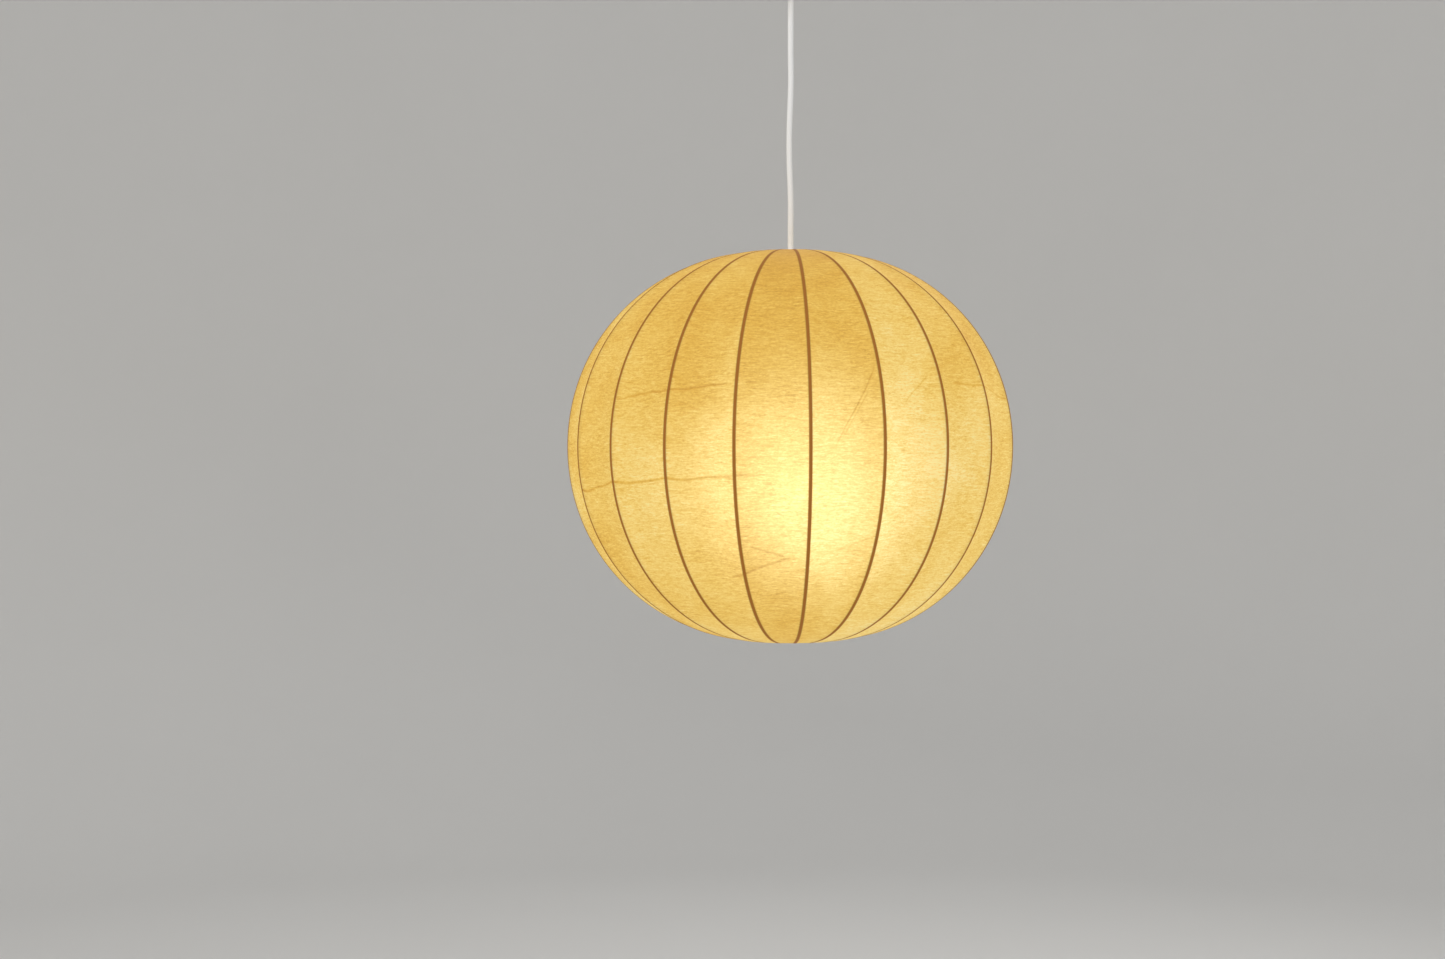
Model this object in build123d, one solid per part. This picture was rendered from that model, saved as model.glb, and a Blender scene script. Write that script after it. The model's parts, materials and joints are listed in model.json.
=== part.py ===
from build123d import *
import os
from math import acos, cos, degrees, pi, radians, sin, tan

# A hanging lantern: a ribbed wire ball under a thin skin, on a cord from a ceiling plate.
# Millimetres and degrees. +Z is up, the origin is the centre of the ceiling plate's top
# face, and -Y is the front. X runs along the line of the plate's two slots.

# ---- overall
drop = 535.0  # ceiling to the ball's centre
run_gap = 0.1  # round a piece that slides or screws on another
free_gap = 0.3  # between pieces that pass each other

# ---- ball: tangent meridian arcs, mirrored above and below the equator
shade_radius = 241.5  # over the skin at a rib, on the equator
belly_radius = 219.5
belly_angle = 12.0  # from the equator to where the belly meets the shoulder
shoulder_radius = 206.5
shoulder_angle = 78.0  # from the equator to where the shoulder meets the crown
skin_wall = 0.6
rib_count = 20
rib_phase = 4.75
rib_wire = 3.0
ring_wire = 4.0
top_ring_radius = 45.0
bottom_ring_radius = 57.0
skin_wrap = 2.0  # how far skin and ribs run inside a ring's centreline
braze_sink = 0.4  # how far a rib is sunk in a ring

# ---- ceiling plate
plate_radius = 50.0
plate_wall = 1.5
slot_spacing = 76.0
slot_length = 18.0
slot_width = 5.0
entry_radius = 6.0
entry_place = -28.0  # along Y
tab_wide = 22.0
tab_wall = 2.0
tab_deep = 25.0  # below the plate
tab_foot = 10.0  # along the plate's underside, where it is spot-welded
clamp_top = -16.0
clamp_tall = 9.0
clamp_screw_place = 7.5  # to each side of the cord

# ---- terminal block, two poles side by side
block_wide = 22.0
block_long = 22.0
block_tall = 12.0
block_place = 26.0  # along Y
pole_place = 5.0
sleeve_radius = 2.6
sleeve_bore = 1.6
pole_screw_place = 6.5  # to each side of the block's middle

# ---- machine screws
screw_radius = 1.5
screw_head_radius = 2.9
screw_head_tall = 1.9
driver_slot_wide = 0.8
driver_slot_deep = 0.9
thread_gap = 0.05
cut_long = 40.0  # a hole's cutter, longer than any wall it goes through

# ---- canopy and its collar
canopy_radius = 56.0
canopy_deep = 33.0
canopy_wall = 1.8
canopy_corner = 11.0
canopy_lift = 0.3  # rim below the ceiling
collar_radius = 8.0
collar_tall = 12.0
neck_radius = 5.5
neck_tall = 4.0
canopy_travel = 60.0

# ---- cord
cord_radius = 3.0
core_radius = 1.1
core_place = 1.3
sheath_top = -12.5
swing_height = -116.0
# the line that the cord takes under its swing point, as it hangs
cord_route = [
    (0.0, 0.0, swing_height),
    (0.6, 0.1, -143.0),
    (-1.4, -0.3, -187.0),
    (-1.5, 0.3, -226.0),
    (0.3, 0.2, -264.0),
    (0.0, 0.0, -301.0),
    (0.0, 0.0, -340.0),
]

# ---- gland, hanger and stem, heights from the ball's centre
gland_top = 213.0
nut_head_tall = 6.0
nut_spigot_tall = 3.0
gland_flats = 15.0
gland_tall = 14.0
gland_socket = 5.5
seal_radius = 4.4
seal_tall = 5.0
stem_radius = 5.0
stem_bore = 3.7
stem_foot = 64.0
lock_nut_flats = 14.0
lock_nut_tall = 4.0
hub_radius = 14.0
hanger_wall = 2.0
arm_count = 3
arm_phase = 30.0
arm_wide = 10.0
arm_bend_in = 24.0  # where an arm leaves the hub's plane
arm_bend_out = 37.0
arm_bend_radius = 3.0
hook_gap = 0.5  # between a hook and the ring's side
hook_tall = 2.0  # above the arm's top face

# ---- lampholder, heights from the ball's centre
holder_radius = 20.0
holder_wall = 2.0
holder_mouth = 8.0
holder_joint = 44.0
cap_neck_radius = 9.0
cap_neck_top = 76.0
cap_shoulder = 58.0
insert_top = 48.0
insert_floor = 40.0
insert_skirt_foot = 12.0
socket_bore = 13.4
socket_wall = 0.6
socket_top = 38.0
contact_radius = 5.0
contact_wall = 0.8
rivet_radius = 1.8
terminal_place = 9.5
terminal_size = 7.0
terminal_tall = 6.0

# ---- bulb, heights from the ball's centre
tip_top = 33.0
tip_radius = 4.8
tip_tall = 2.0
insulator_foot = 27.5
bulb_cap_wall = 0.4
bulb_cap_foot = 5.5
cement_gap = 0.3  # between the cap's inside and the glass neck
bulb_radius = 30.0
bulb_centre = -47.0
bulb_wall = 1.0
bulb_neck_foot = 0.0
mount_top = 12.0
mount_long = 34.0
mount_radius = 3.0
filament_height = -40.0
filament_reach = 12.0
filament_sag = 5.0
lead_wire = 0.4
coil_wire = 0.6
lead_place = 1.2  # to each side, where the leads leave the mount
lead_straight = 4.0


# moves a piece made about the ball's centre to its place under the ceiling
from_centre = Pos(0, 0, -drop)


def ray(angle):
    """Unit (r, z) vector at an angle above the equator."""
    return Vector(cos(radians(angle)), sin(radians(angle)))


# the belly, shoulder and crown arcs: each centre as (r, z), and radius
belly_centre = Vector(shade_radius - belly_radius, 0)
shoulder_centre = belly_centre + ray(belly_angle) * (belly_radius - shoulder_radius)
crown_edge = shoulder_centre + ray(shoulder_angle) * shoulder_radius
crown_radius = crown_edge.X / cos(radians(shoulder_angle))
crown_centre = crown_edge - ray(shoulder_angle) * crown_radius


def crown_height(r, inset=0.0):
    """Height of the crown arc above the equator at a radius r, inset under the skin."""
    return crown_centre.Y + ((crown_radius - inset) ** 2 - r**2) ** 0.5


def meridian(inset, top_r, bottom_r):
    """The ball's side from its top opening to its bottom one, inset under the skin's outside."""
    crown = crown_radius - inset
    shoulder = shoulder_radius - inset
    top_angle = degrees(acos(top_r / crown))
    foot_angle = degrees(acos(bottom_r / crown))
    turn = shoulder_angle - belly_angle
    arcs = [
        (crown_centre, crown, top_angle, shoulder_angle - top_angle),
        (shoulder_centre, shoulder, shoulder_angle, -turn),
        (belly_centre, belly_radius - inset, belly_angle, -2 * belly_angle),
        (mirrored(shoulder_centre), shoulder, -belly_angle, -turn),
        (mirrored(crown_centre), crown, -shoulder_angle, shoulder_angle - foot_angle),
    ]
    return [Plane.XZ * CenterArc((c.X, c.Y), r, start, size) for c, r, start, size in arcs]


def mirrored(centre):
    return Vector(centre.X, -centre.Y)


def turned(*points):
    """A solid of revolution about Z from its (r, z) outline."""
    outline = make_face(Plane.XZ * Polyline(*points, close=True))
    return revolve(outline, Axis.Z)


def disc(radius, foot, tall):
    return Pos(0, 0, foot) * Cylinder(radius, tall, align=(Align.CENTER, Align.CENTER, Align.MIN))


def hex_nut(flats, foot, tall, bore):
    nut = extrude(Pos(0, 0, foot) * RegularPolygon(flats / 2, 6, major_radius=False), tall)
    crown = turned((0, foot), (flats * 0.56, foot), (flats * 0.56, foot + tall * 0.85),
                   (flats * 0.47, foot + tall), (0, foot + tall))
    return (nut & crown) - disc(bore, foot - 1, tall + 2)


def machine_screw(shank):
    """Slotted pan-head screw: its head's underside is at z=0 and its shank points down."""
    head = turned((0, 0), (screw_head_radius, 0), (screw_head_radius, screw_head_tall * 0.6),
                  (screw_head_radius * 0.75, screw_head_tall), (0, screw_head_tall))
    slot = Pos(0, 0, screw_head_tall) * Box(
        3 * screw_head_radius, driver_slot_wide, 2 * driver_slot_deep)
    return head - slot + disc(screw_radius, -shank, shank)


def wire(points, bend_radius, radius):
    """Round wire along straight runs joined by tangent arcs."""
    path = FilletPolyline(*points, radius=bend_radius)
    return sweep(Plane(path @ 0, z_dir=path % 0) * Circle(radius), path=path)


# ---------------------------------------------------------------- ball

def make_skin():
    """A thin film, straight across each gap between ribs and open at both rings: one panel a gap."""
    top_r = top_ring_radius - skin_wrap
    foot_r = bottom_ring_radius - skin_wrap
    outer = meridian(0.0, top_r, foot_r)
    inner = meridian(skin_wall, top_r, foot_r)
    ends = [Line(outer[0] @ 0, inner[0] @ 0), Line(outer[-1] @ 1, inner[-1] @ 1)]
    section = Wire([edge for piece in outer + inner + ends for edge in piece.edges()])
    step = 360 / rib_count
    panel = Solid.make_loft([section, Rot(0, 0, step) * section], ruled=True)
    return Compound([Rot(0, 0, rib_phase + step * i) * panel for i in range(rib_count)])


rib_inset = skin_wall + rib_wire / 2 / cos(pi / rib_count) + thread_gap


def make_rib():
    arcs = meridian(rib_inset, top_ring_radius - skin_wrap, bottom_ring_radius - skin_wrap)
    path = Wire([edge for arc in arcs for edge in arc.edges()])
    return sweep(Plane(path @ 0, z_dir=path % 0) * Circle(rib_wire / 2), path=path)


def ring_height(radius):
    """Height of a ring's centreline from the equator: it lies inside the ribs."""
    return crown_height(radius, rib_inset) - rib_wire / 2 - ring_wire / 2 + braze_sink


def make_ring(radius, side):
    return from_centre * Pos(0, 0, side * ring_height(radius)) * Torus(radius, ring_wire / 2)


# ---------------------------------------------------------------- ceiling fitting

def make_ceiling_plate():
    plate = disc(plate_radius, -plate_wall, plate_wall)
    for side in (-1, 1):
        slot = SlotOverall(slot_length, slot_width)
        plate -= Pos(side * slot_spacing / 2, 0, -2 * plate_wall) * extrude(slot, 3 * plate_wall)
    plate -= Pos(0, entry_place, 0) * disc(entry_radius, -2 * plate_wall, 3 * plate_wall)
    return plate - Pos(0, block_place, 0) * disc(screw_radius + thread_gap, -2 * plate_wall, 3 * plate_wall)


def make_cord_tab():
    """Folded tab that the cord is clamped against, its foot welded under the plate."""
    under_plate = (Align.CENTER, Align.MAX, Align.MAX)
    corner = Pos(0, -cord_radius, -plate_wall)
    tab = corner * Box(tab_wide, tab_wall, tab_deep, align=under_plate)
    tab += corner * Box(tab_wide, tab_foot, tab_wall, align=under_plate)
    for side in (-1, 1):
        tab -= clamp_screw_line(side) * disc(screw_radius + thread_gap, -cut_long / 2, cut_long / 2)
    return tab


def clamp_screw_line(side):
    """Turns a screw to point along -Y at the clamp, its head on the clamp's front."""
    middle = clamp_top - clamp_tall / 2
    return Pos(side * clamp_screw_place, cord_radius + tab_wall, middle) * Rot(-90, 0, 0)


def make_cord_clamp():
    bar = Pos(0, cord_radius + tab_wall / 2, clamp_top) * Box(
        tab_wide, tab_wall, clamp_tall, align=(Align.CENTER, Align.CENTER, Align.MAX))
    for side in (-1, 1):
        bar -= clamp_screw_line(side) * disc(screw_radius + thread_gap, -cut_long / 2, cut_long)
    return bar


def make_clamp_screws():
    shank = 2 * cord_radius + 2 * tab_wall + 1
    return Compound([clamp_screw_line(side) * machine_screw(shank) for side in (-1, 1)])


channel_height = -plate_wall - block_tall / 2


def pole_lines():
    return [Pos(side * pole_place, block_place, channel_height) * Rot(90, 0, 0) for side in (-1, 1)]


def pole_screw_lines():
    """Screw places, head down, on the block's underside."""
    return [
        Pos(side * pole_place, block_place + end * pole_screw_place, -plate_wall - block_tall)
        * Rot(180, 0, 0)
        for side in (-1, 1) for end in (-1, 1)
    ]


def make_terminal_block():
    block = Pos(0, block_place, -plate_wall) * Box(
        block_wide, block_long, block_tall, align=(Align.CENTER, Align.CENTER, Align.MAX))
    block = fillet(block.edges().filter_by(Axis.Z), 1.5)
    for line in pole_lines():
        block -= line * Cylinder(sleeve_radius + thread_gap, 2 * block_long)
    for line in pole_screw_lines():
        block -= line * disc(screw_radius + free_gap, -block_tall / 2, block_tall)
    block -= Pos(0, block_place, 0) * disc(screw_radius + free_gap, -cut_long, cut_long)
    return block


def make_terminal_sleeves():
    sleeves = []
    for line in pole_lines():
        sleeve = line * (Cylinder(sleeve_radius, block_long - 4) - Cylinder(sleeve_bore, block_long))
        for screw in pole_screw_lines():
            sleeve -= screw * disc(screw_radius + thread_gap, -block_tall / 2, block_tall)
        sleeves.append(sleeve)
    return Compound(sleeves)


def make_terminal_screws():
    shank = block_tall / 2 - core_radius - thread_gap
    return Compound([line * machine_screw(shank) for line in pole_screw_lines()])


def make_block_screw():
    return Pos(0, block_place, -plate_wall - block_tall) * Rot(180, 0, 0) * machine_screw(
        block_tall + plate_wall)


def make_upper_core(side):
    """One core of the cord, from the sheath's end into its terminal."""
    points = [
        (side * core_place, 0, sheath_top),
        (side * core_place, 0, channel_height),
        (side * pole_place, block_place - block_long / 2 - 4, channel_height),
        (side * pole_place, block_place - pole_screw_place + 3, channel_height),
    ]
    return wire(points, [3.0, 3.0], core_radius)


def make_cord_top():
    foot = swing_height + cord_radius + free_gap
    return disc(cord_radius, foot, sheath_top - foot)


# ---------------------------------------------------------------- canopy

def make_canopy():
    rim = -canopy_lift
    floor = rim - canopy_deep
    cup = disc(canopy_radius, floor, canopy_deep)
    cup = fillet(cup.edges().sort_by(Axis.Z)[0], canopy_corner)
    inside = disc(canopy_radius - canopy_wall, floor + canopy_wall, canopy_deep)
    inside = fillet(inside.edges().sort_by(Axis.Z)[0], canopy_corner - canopy_wall)
    return cup - inside - disc(neck_radius + run_gap, floor - 1, canopy_deep)


def make_canopy_collar():
    shoulder = -canopy_lift - canopy_deep
    foot = shoulder - collar_tall
    neck_top = shoulder + neck_tall
    bore = cord_radius + run_gap
    collar = turned(
        (bore, neck_top), (neck_radius, neck_top), (neck_radius, shoulder),
        (collar_radius, shoulder), (collar_radius, foot + 2), (collar_radius - 2, foot), (bore, foot))
    return collar - collar_screw_line() * disc(screw_radius + thread_gap, 0, 2 * collar_radius)


def collar_screw_line():
    middle = -canopy_lift - canopy_deep - collar_tall / 2
    return Pos(0, 0, middle) * Rot(90, 0, 0)


def make_collar_screw():
    tip = cord_radius + run_gap
    screw = disc(screw_radius, tip, collar_radius - tip)
    slot = Pos(0, 0, collar_radius) * Box(4 * screw_radius, driver_slot_wide, 2 * driver_slot_deep)
    return collar_screw_line() * (screw - slot)


# ---------------------------------------------------------------- cord, gland, hanger, stem

def route_radii(route):
    """The largest arcs that the runs allow: 0.45 of the shorter run over the half turn's tangent."""
    runs = [Vector(*b) - Vector(*a) for a, b in zip(route, route[1:])]
    radii = []
    for before, after in zip(runs, runs[1:]):
        half_turn = radians(before.get_angle(after) / 2)
        radii.append(0.45 * min(before.length, after.length) / tan(half_turn))
    return radii


def make_cord():
    """The hanging stretch, with a round top end at its swing point."""
    radii = route_radii(cord_route)
    print("cord radii", [round(r) for r in radii])
    path = FilletPolyline(*cord_route, radius=radii)
    tube = sweep(Plane(path @ 0, z_dir=path % 0) * Circle(cord_radius), path=path)
    print("cord length", round(path.length, 2), "volume over section", round(
        tube.volume / (pi * cord_radius**2), 2))
    return tube + Pos(*cord_route[0]) * Sphere(cord_radius)


# the gland's faces from the ball's centre, top to bottom
nut_seat = gland_top - nut_head_tall
seal_top = nut_seat - nut_spigot_tall
seal_foot = seal_top - seal_tall
gland_foot = nut_seat - gland_tall
stem_top = gland_foot + gland_socket
hub_foot = gland_foot - hanger_wall


def make_gland_nut():
    nut = hex_nut(gland_flats, nut_seat, nut_head_tall, cord_radius + run_gap)
    spigot = disc(seal_radius, seal_top, nut_spigot_tall) - disc(
        cord_radius + run_gap, seal_top - 1, gland_tall)
    return from_centre * (nut + spigot)


def make_gland_seal():
    ring = disc(seal_radius, seal_foot, seal_tall) - disc(cord_radius, seal_foot - 1, gland_tall)
    return from_centre * ring


def make_gland_body():
    body = extrude(
        Pos(0, 0, gland_foot) * RegularPolygon(gland_flats / 2, 6, major_radius=False), gland_tall)
    body -= disc(seal_radius, seal_foot, gland_tall)
    body -= disc(cord_radius + run_gap, gland_foot, gland_tall)
    body -= disc(stem_radius, gland_foot - 1, gland_socket + 1)
    return from_centre * body


def make_stem():
    tall = stem_top - stem_foot
    tube = disc(stem_radius, stem_foot, tall) - disc(stem_bore, stem_foot - 1, tall + 2)
    return from_centre * tube


def make_lock_nuts():
    under_hub = hex_nut(lock_nut_flats, hub_foot - lock_nut_tall, lock_nut_tall, stem_radius)
    over_cap = hex_nut(lock_nut_flats, cap_neck_top, lock_nut_tall, stem_radius)
    return Compound([from_centre * under_hub, from_centre * over_cap])


def make_hanger():
    """Pressed spider: a hub on the stem, and arms whose hooks cradle the top ring from below."""
    mid = hub_foot + hanger_wall / 2
    lip_top = ring_height(top_ring_radius) - ring_wire / 2 - free_gap
    lip_mid = lip_top - hanger_wall / 2
    hook = top_ring_radius + ring_wire / 2 + hook_gap + hanger_wall / 2
    points = [
        (stem_radius + 2, 0, mid), (arm_bend_in, 0, mid), (arm_bend_out, 0, lip_mid),
        (hook, 0, lip_mid), (hook, 0, lip_top + hook_tall)]
    tight = hanger_wall / 2 + 0.3
    path = FilletPolyline(*points, radius=[arm_bend_radius, arm_bend_radius, tight])
    arm = sweep(Plane(path @ 0, x_dir=(0, 1, 0), z_dir=path % 0) * Rectangle(arm_wide, hanger_wall),
                path=path)
    spider = disc(hub_radius, hub_foot, hanger_wall)
    for i in range(arm_count):
        spider += Rot(0, 0, arm_phase + 360 * i / arm_count) * arm
    return from_centre * (spider - disc(stem_radius + run_gap, hub_foot - 1, 2 * hanger_wall))


# ---------------------------------------------------------------- lampholder

def make_holder_cap():
    inner = holder_radius - holder_wall
    cap = turned(
        (stem_radius + run_gap, cap_neck_top), (cap_neck_radius, cap_neck_top),
        (cap_neck_radius, cap_neck_top - 6), (cap_neck_radius + 5, cap_neck_top - 9),
        (holder_radius - 1, cap_shoulder + 3), (holder_radius, cap_shoulder),
        (holder_radius, holder_joint), (inner, holder_joint), (inner, cap_shoulder - 1),
        (cap_neck_radius + 3, cap_neck_top - 11), (stem_radius + run_gap, cap_neck_top - 10))
    return from_centre * cap


def make_holder_shell():
    inner = holder_radius - holder_wall
    lip = socket_bore + socket_wall + 0.8
    shell = turned(
        (holder_radius, holder_joint), (inner, holder_joint), (inner, holder_mouth + 2),
        (lip, holder_mouth + 2), (lip, holder_mouth), (holder_radius - 1, holder_mouth),
        (holder_radius, holder_mouth + 1))
    return from_centre * shell


def make_holder_insert():
    outer = holder_radius - holder_wall - run_gap
    skirt = socket_bore + socket_wall + run_gap
    tall = insert_top - insert_skirt_foot
    body = disc(outer, insert_skirt_foot, tall) - disc(skirt, 0, insert_floor)
    return from_centre * (body - disc(rivet_radius + thread_gap, 0, 2 * insert_top))


def make_socket_thread():
    tall = socket_top - insert_skirt_foot
    tube = disc(socket_bore + socket_wall, insert_skirt_foot, tall) - disc(socket_bore, 0, 2 * socket_top)
    return from_centre * tube


def make_centre_contact():
    foot = tip_top + free_gap
    contact = turned(
        (0, foot), (contact_radius * 0.6, foot), (contact_radius, insert_floor - contact_wall),
        (contact_radius + 1, insert_floor - contact_wall), (contact_radius + 1, insert_floor),
        (rivet_radius, insert_floor), (rivet_radius, insert_top + 1), (0, insert_top + 1))
    hollow = turned(
        (rivet_radius, foot + contact_wall), (contact_radius * 0.6, foot + contact_wall),
        (contact_radius - 0.9, insert_floor), (rivet_radius, insert_floor))
    return from_centre * (contact - hollow)


terminal_middle = insert_top + terminal_tall / 2


def make_holder_terminals():
    blocks = []
    for side in (-1, 1):
        block = Pos(side * terminal_place, 0, insert_top) * Box(
            terminal_size, terminal_size, terminal_tall, align=(Align.CENTER, Align.CENTER, Align.MIN))
        block -= Pos(side * terminal_place, 0, 0) * disc(core_radius + thread_gap, insert_top + 1, cut_long)
        block -= holder_screw_line(side) * disc(screw_radius + thread_gap, -terminal_size / 2, cut_long)
        blocks.append(from_centre * block)
    return Compound(blocks)


def holder_screw_line(side):
    """Screw place on a terminal's front, its head outward."""
    return Pos(side * terminal_place, -terminal_size / 2, terminal_middle) * Rot(90, 0, 0)


def make_holder_screws():
    shank = terminal_size / 2 - core_radius - thread_gap
    return Compound([from_centre * holder_screw_line(side) * machine_screw(shank) for side in (-1, 1)])


def make_lower_core(side):
    """One core, from the sheath's end down the stem and into its terminal on the insert."""
    sheath_end = cord_route[-1][2] + drop
    points = [
        (side * core_place, 0, sheath_end), (side * core_place, 0, stem_foot - 2),
        (side * terminal_place, 0, stem_foot - 5), (side * terminal_place, 0, insert_top + 1.5)]
    return from_centre * wire(points, [2.0, 2.0], core_radius)


# ---------------------------------------------------------------- bulb

def make_bulb_tip():
    foot = tip_top - tip_tall
    tip = turned((0, tip_top), (tip_radius * 0.6, tip_top), (tip_radius * 0.9, tip_top - 0.6),
                 (tip_radius, foot), (0, foot))
    return from_centre * tip


bulb_cap_radius = socket_bore - free_gap
bulb_neck = bulb_cap_radius - bulb_cap_wall - cement_gap


def make_bulb_insulator():
    foot = tip_top - tip_tall
    cone = turned((0, foot), (tip_radius, foot), (tip_radius + 1, foot - 0.5),
                  (bulb_cap_radius - 1.6, insulator_foot), (0, insulator_foot))
    return from_centre * cone


def make_bulb_cap():
    inner = bulb_cap_radius - bulb_cap_wall
    cap = turned(
        (bulb_cap_radius - 2.4, insulator_foot), (bulb_cap_radius - 1.4, insulator_foot),
        (bulb_cap_radius, insulator_foot - 2), (bulb_cap_radius, bulb_cap_foot),
        (inner, bulb_cap_foot), (inner, insulator_foot - 2.2),
        (bulb_cap_radius - 2.4, insulator_foot - bulb_cap_wall))
    return from_centre * cap


def bulb_outline(inset):
    """Half section of the envelope: neck, flare and globe, each tangent to the next."""
    neck = bulb_neck - inset
    globe = bulb_radius - inset
    rise = bulb_neck_foot - bulb_centre
    full_neck = bulb_neck
    flare = (full_neck**2 + rise**2 - bulb_radius**2) / 2 / (bulb_radius - full_neck)
    centre = Vector(full_neck + flare, bulb_neck_foot)
    toward = (centre - Vector(0, bulb_centre)).normalized()
    join = Vector(0, bulb_centre) + toward * globe
    join_angle = degrees(acos(toward.X))
    top = insulator_foot - 4
    return [
        Line((0, top), (neck, top)),
        Line((neck, top), (neck, bulb_neck_foot)),
        CenterArc((centre.X, centre.Y), flare + inset, 180, join_angle),
        CenterArc((0, bulb_centre), globe, join_angle, -90 - join_angle),
        Line((0, bulb_centre - globe), (0, top)),
    ]


def make_bulb_glass():
    solids = []
    for inset in (0.0, bulb_wall):
        edges = [edge for piece in bulb_outline(inset) for edge in piece.edges()]
        solids.append(revolve(Plane.XZ * make_face(Wire(edges)), Axis.Z))
    glass = solids[0] - solids[1]
    return from_centre * (glass - disc(bulb_neck - bulb_wall, mount_top, cut_long))


def make_filament_mount():
    """Glass stem that closes the neck and carries the lead wires."""
    neck = bulb_neck - bulb_wall
    foot = mount_top - mount_long
    mount = turned(
        (0, mount_top), (neck, mount_top), (neck, mount_top - 2), (2 * mount_radius, mount_top - 6),
        (mount_radius, mount_top - 20), (mount_radius, foot), (0, foot))
    return from_centre * mount


def make_filament():
    foot = mount_top - mount_long
    shapes = []
    for side in (-1, 1):
        points = [
            (side * lead_place, 0, foot), (side * lead_place, 0, foot - lead_straight),
            (side * filament_reach, 0, filament_height)]
        shapes.append(wire(points, [2.0], lead_wire))
    arc = ThreePointArc(
        (-filament_reach, 0, filament_height), (0, 0, filament_height - filament_sag),
        (filament_reach, 0, filament_height))
    coil = sweep(Plane(arc @ 0, z_dir=arc % 0) * Circle(coil_wire), path=arc)
    return from_centre * (coil + shapes[0] + shapes[1])


# ---------------------------------------------------------------- nodes

def make_nodes():
    nodes = {
        "skin": from_centre * make_skin(),
        "top_ring": make_ring(top_ring_radius, 1),
        "bottom_ring": make_ring(bottom_ring_radius, -1),
        "ceiling_plate": make_ceiling_plate(),
        "cord_tab": make_cord_tab(),
        "cord_clamp": make_cord_clamp(),
        "cord_clamp_screws": make_clamp_screws(),
        "terminal_block": make_terminal_block(),
        "terminal_sleeves": make_terminal_sleeves(),
        "terminal_screws": make_terminal_screws(),
        "terminal_block_screw": make_block_screw(),
        "live_core_upper": make_upper_core(-1),
        "neutral_core_upper": make_upper_core(1),
        "cord_top": make_cord_top(),
        "canopy": make_canopy(),
        "canopy_collar": make_canopy_collar(),
        "canopy_collar_screw": make_collar_screw(),
        "cord": make_cord(),
        "gland_nut": make_gland_nut(),
        "gland_seal": make_gland_seal(),
        "gland_body": make_gland_body(),
        "stem": make_stem(),
        "stem_lock_nuts": make_lock_nuts(),
        "hanger": make_hanger(),
        "holder_cap": make_holder_cap(),
        "holder_shell": make_holder_shell(),
        "holder_insert": make_holder_insert(),
        "holder_socket": make_socket_thread(),
        "holder_centre_contact": make_centre_contact(),
        "holder_terminals": make_holder_terminals(),
        "holder_terminal_screws": make_holder_screws(),
        "live_core_lower": make_lower_core(-1),
        "neutral_core_lower": make_lower_core(1),
        "bulb_tip": make_bulb_tip(),
        "bulb_insulator": make_bulb_insulator(),
        "bulb_cap": make_bulb_cap(),
        "bulb_glass": make_bulb_glass(),
        "bulb_filament_mount": make_filament_mount(),
        "bulb_filament": make_filament(),
    }
    rib = from_centre * make_rib()
    for i in range(rib_count):
        nodes[f"rib_{i + 1:02d}"] = Rot(0, 0, rib_phase + 360 / rib_count * i) * rib
    return nodes


os.makedirs("parts", exist_ok=True)
for name, shape in make_nodes().items():
    export_step(shape, f"parts/{name}.step")
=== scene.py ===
import json
import logging
import math
from dataclasses import dataclass
from enum import Enum
from typing import Any, Callable, Iterable, Sequence

import bmesh
import bpy
import numpy as np
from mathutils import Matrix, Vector, noise


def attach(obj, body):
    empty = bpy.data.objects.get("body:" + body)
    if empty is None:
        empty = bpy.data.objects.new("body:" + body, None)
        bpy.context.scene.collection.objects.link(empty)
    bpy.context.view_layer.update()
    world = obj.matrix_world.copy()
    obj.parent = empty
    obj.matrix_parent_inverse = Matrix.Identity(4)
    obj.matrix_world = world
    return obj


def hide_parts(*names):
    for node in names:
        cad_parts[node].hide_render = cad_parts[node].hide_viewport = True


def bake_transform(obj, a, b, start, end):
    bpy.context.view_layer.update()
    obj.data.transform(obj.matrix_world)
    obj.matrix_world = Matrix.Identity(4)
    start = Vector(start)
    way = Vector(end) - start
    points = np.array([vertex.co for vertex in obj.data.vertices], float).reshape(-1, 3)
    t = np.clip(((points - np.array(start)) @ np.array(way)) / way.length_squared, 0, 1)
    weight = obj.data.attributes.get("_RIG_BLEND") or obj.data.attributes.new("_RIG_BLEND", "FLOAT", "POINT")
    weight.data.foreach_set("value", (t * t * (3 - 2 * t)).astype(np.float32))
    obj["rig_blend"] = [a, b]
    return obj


# A lit lantern: a ribbed wire ball under a sprayed translucent film, hung on a white cord
# from a ceiling plate and canopy. Metres, +Z up, the ceiling at z = 0 and -Y the front.

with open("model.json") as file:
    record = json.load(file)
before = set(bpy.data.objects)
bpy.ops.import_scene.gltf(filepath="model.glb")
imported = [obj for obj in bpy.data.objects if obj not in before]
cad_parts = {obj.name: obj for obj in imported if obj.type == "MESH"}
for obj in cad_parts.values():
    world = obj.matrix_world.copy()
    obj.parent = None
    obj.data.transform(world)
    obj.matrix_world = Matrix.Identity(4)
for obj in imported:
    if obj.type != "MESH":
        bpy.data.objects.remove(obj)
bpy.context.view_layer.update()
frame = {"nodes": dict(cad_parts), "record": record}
LOG = logging.getLogger("lantern")
MM = 0.001
BALL_CENTRE = -0.535
RIB_COUNT = 20
FIRST_RIB_DEGREES = 4.75
SHARP_EDGE_DEGREES = 38
FLAT_EDGE_DEGREES = 0.6

Colour = tuple[float, float, float]
Point = tuple[float, float, float]
Outline = list[tuple[float, float]]
Corners = Sequence[tuple[float, float, float]]
Socket = bpy.types.NodeSocket
RadiusRule = Callable[[np.ndarray, np.ndarray], np.ndarray]


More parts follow.
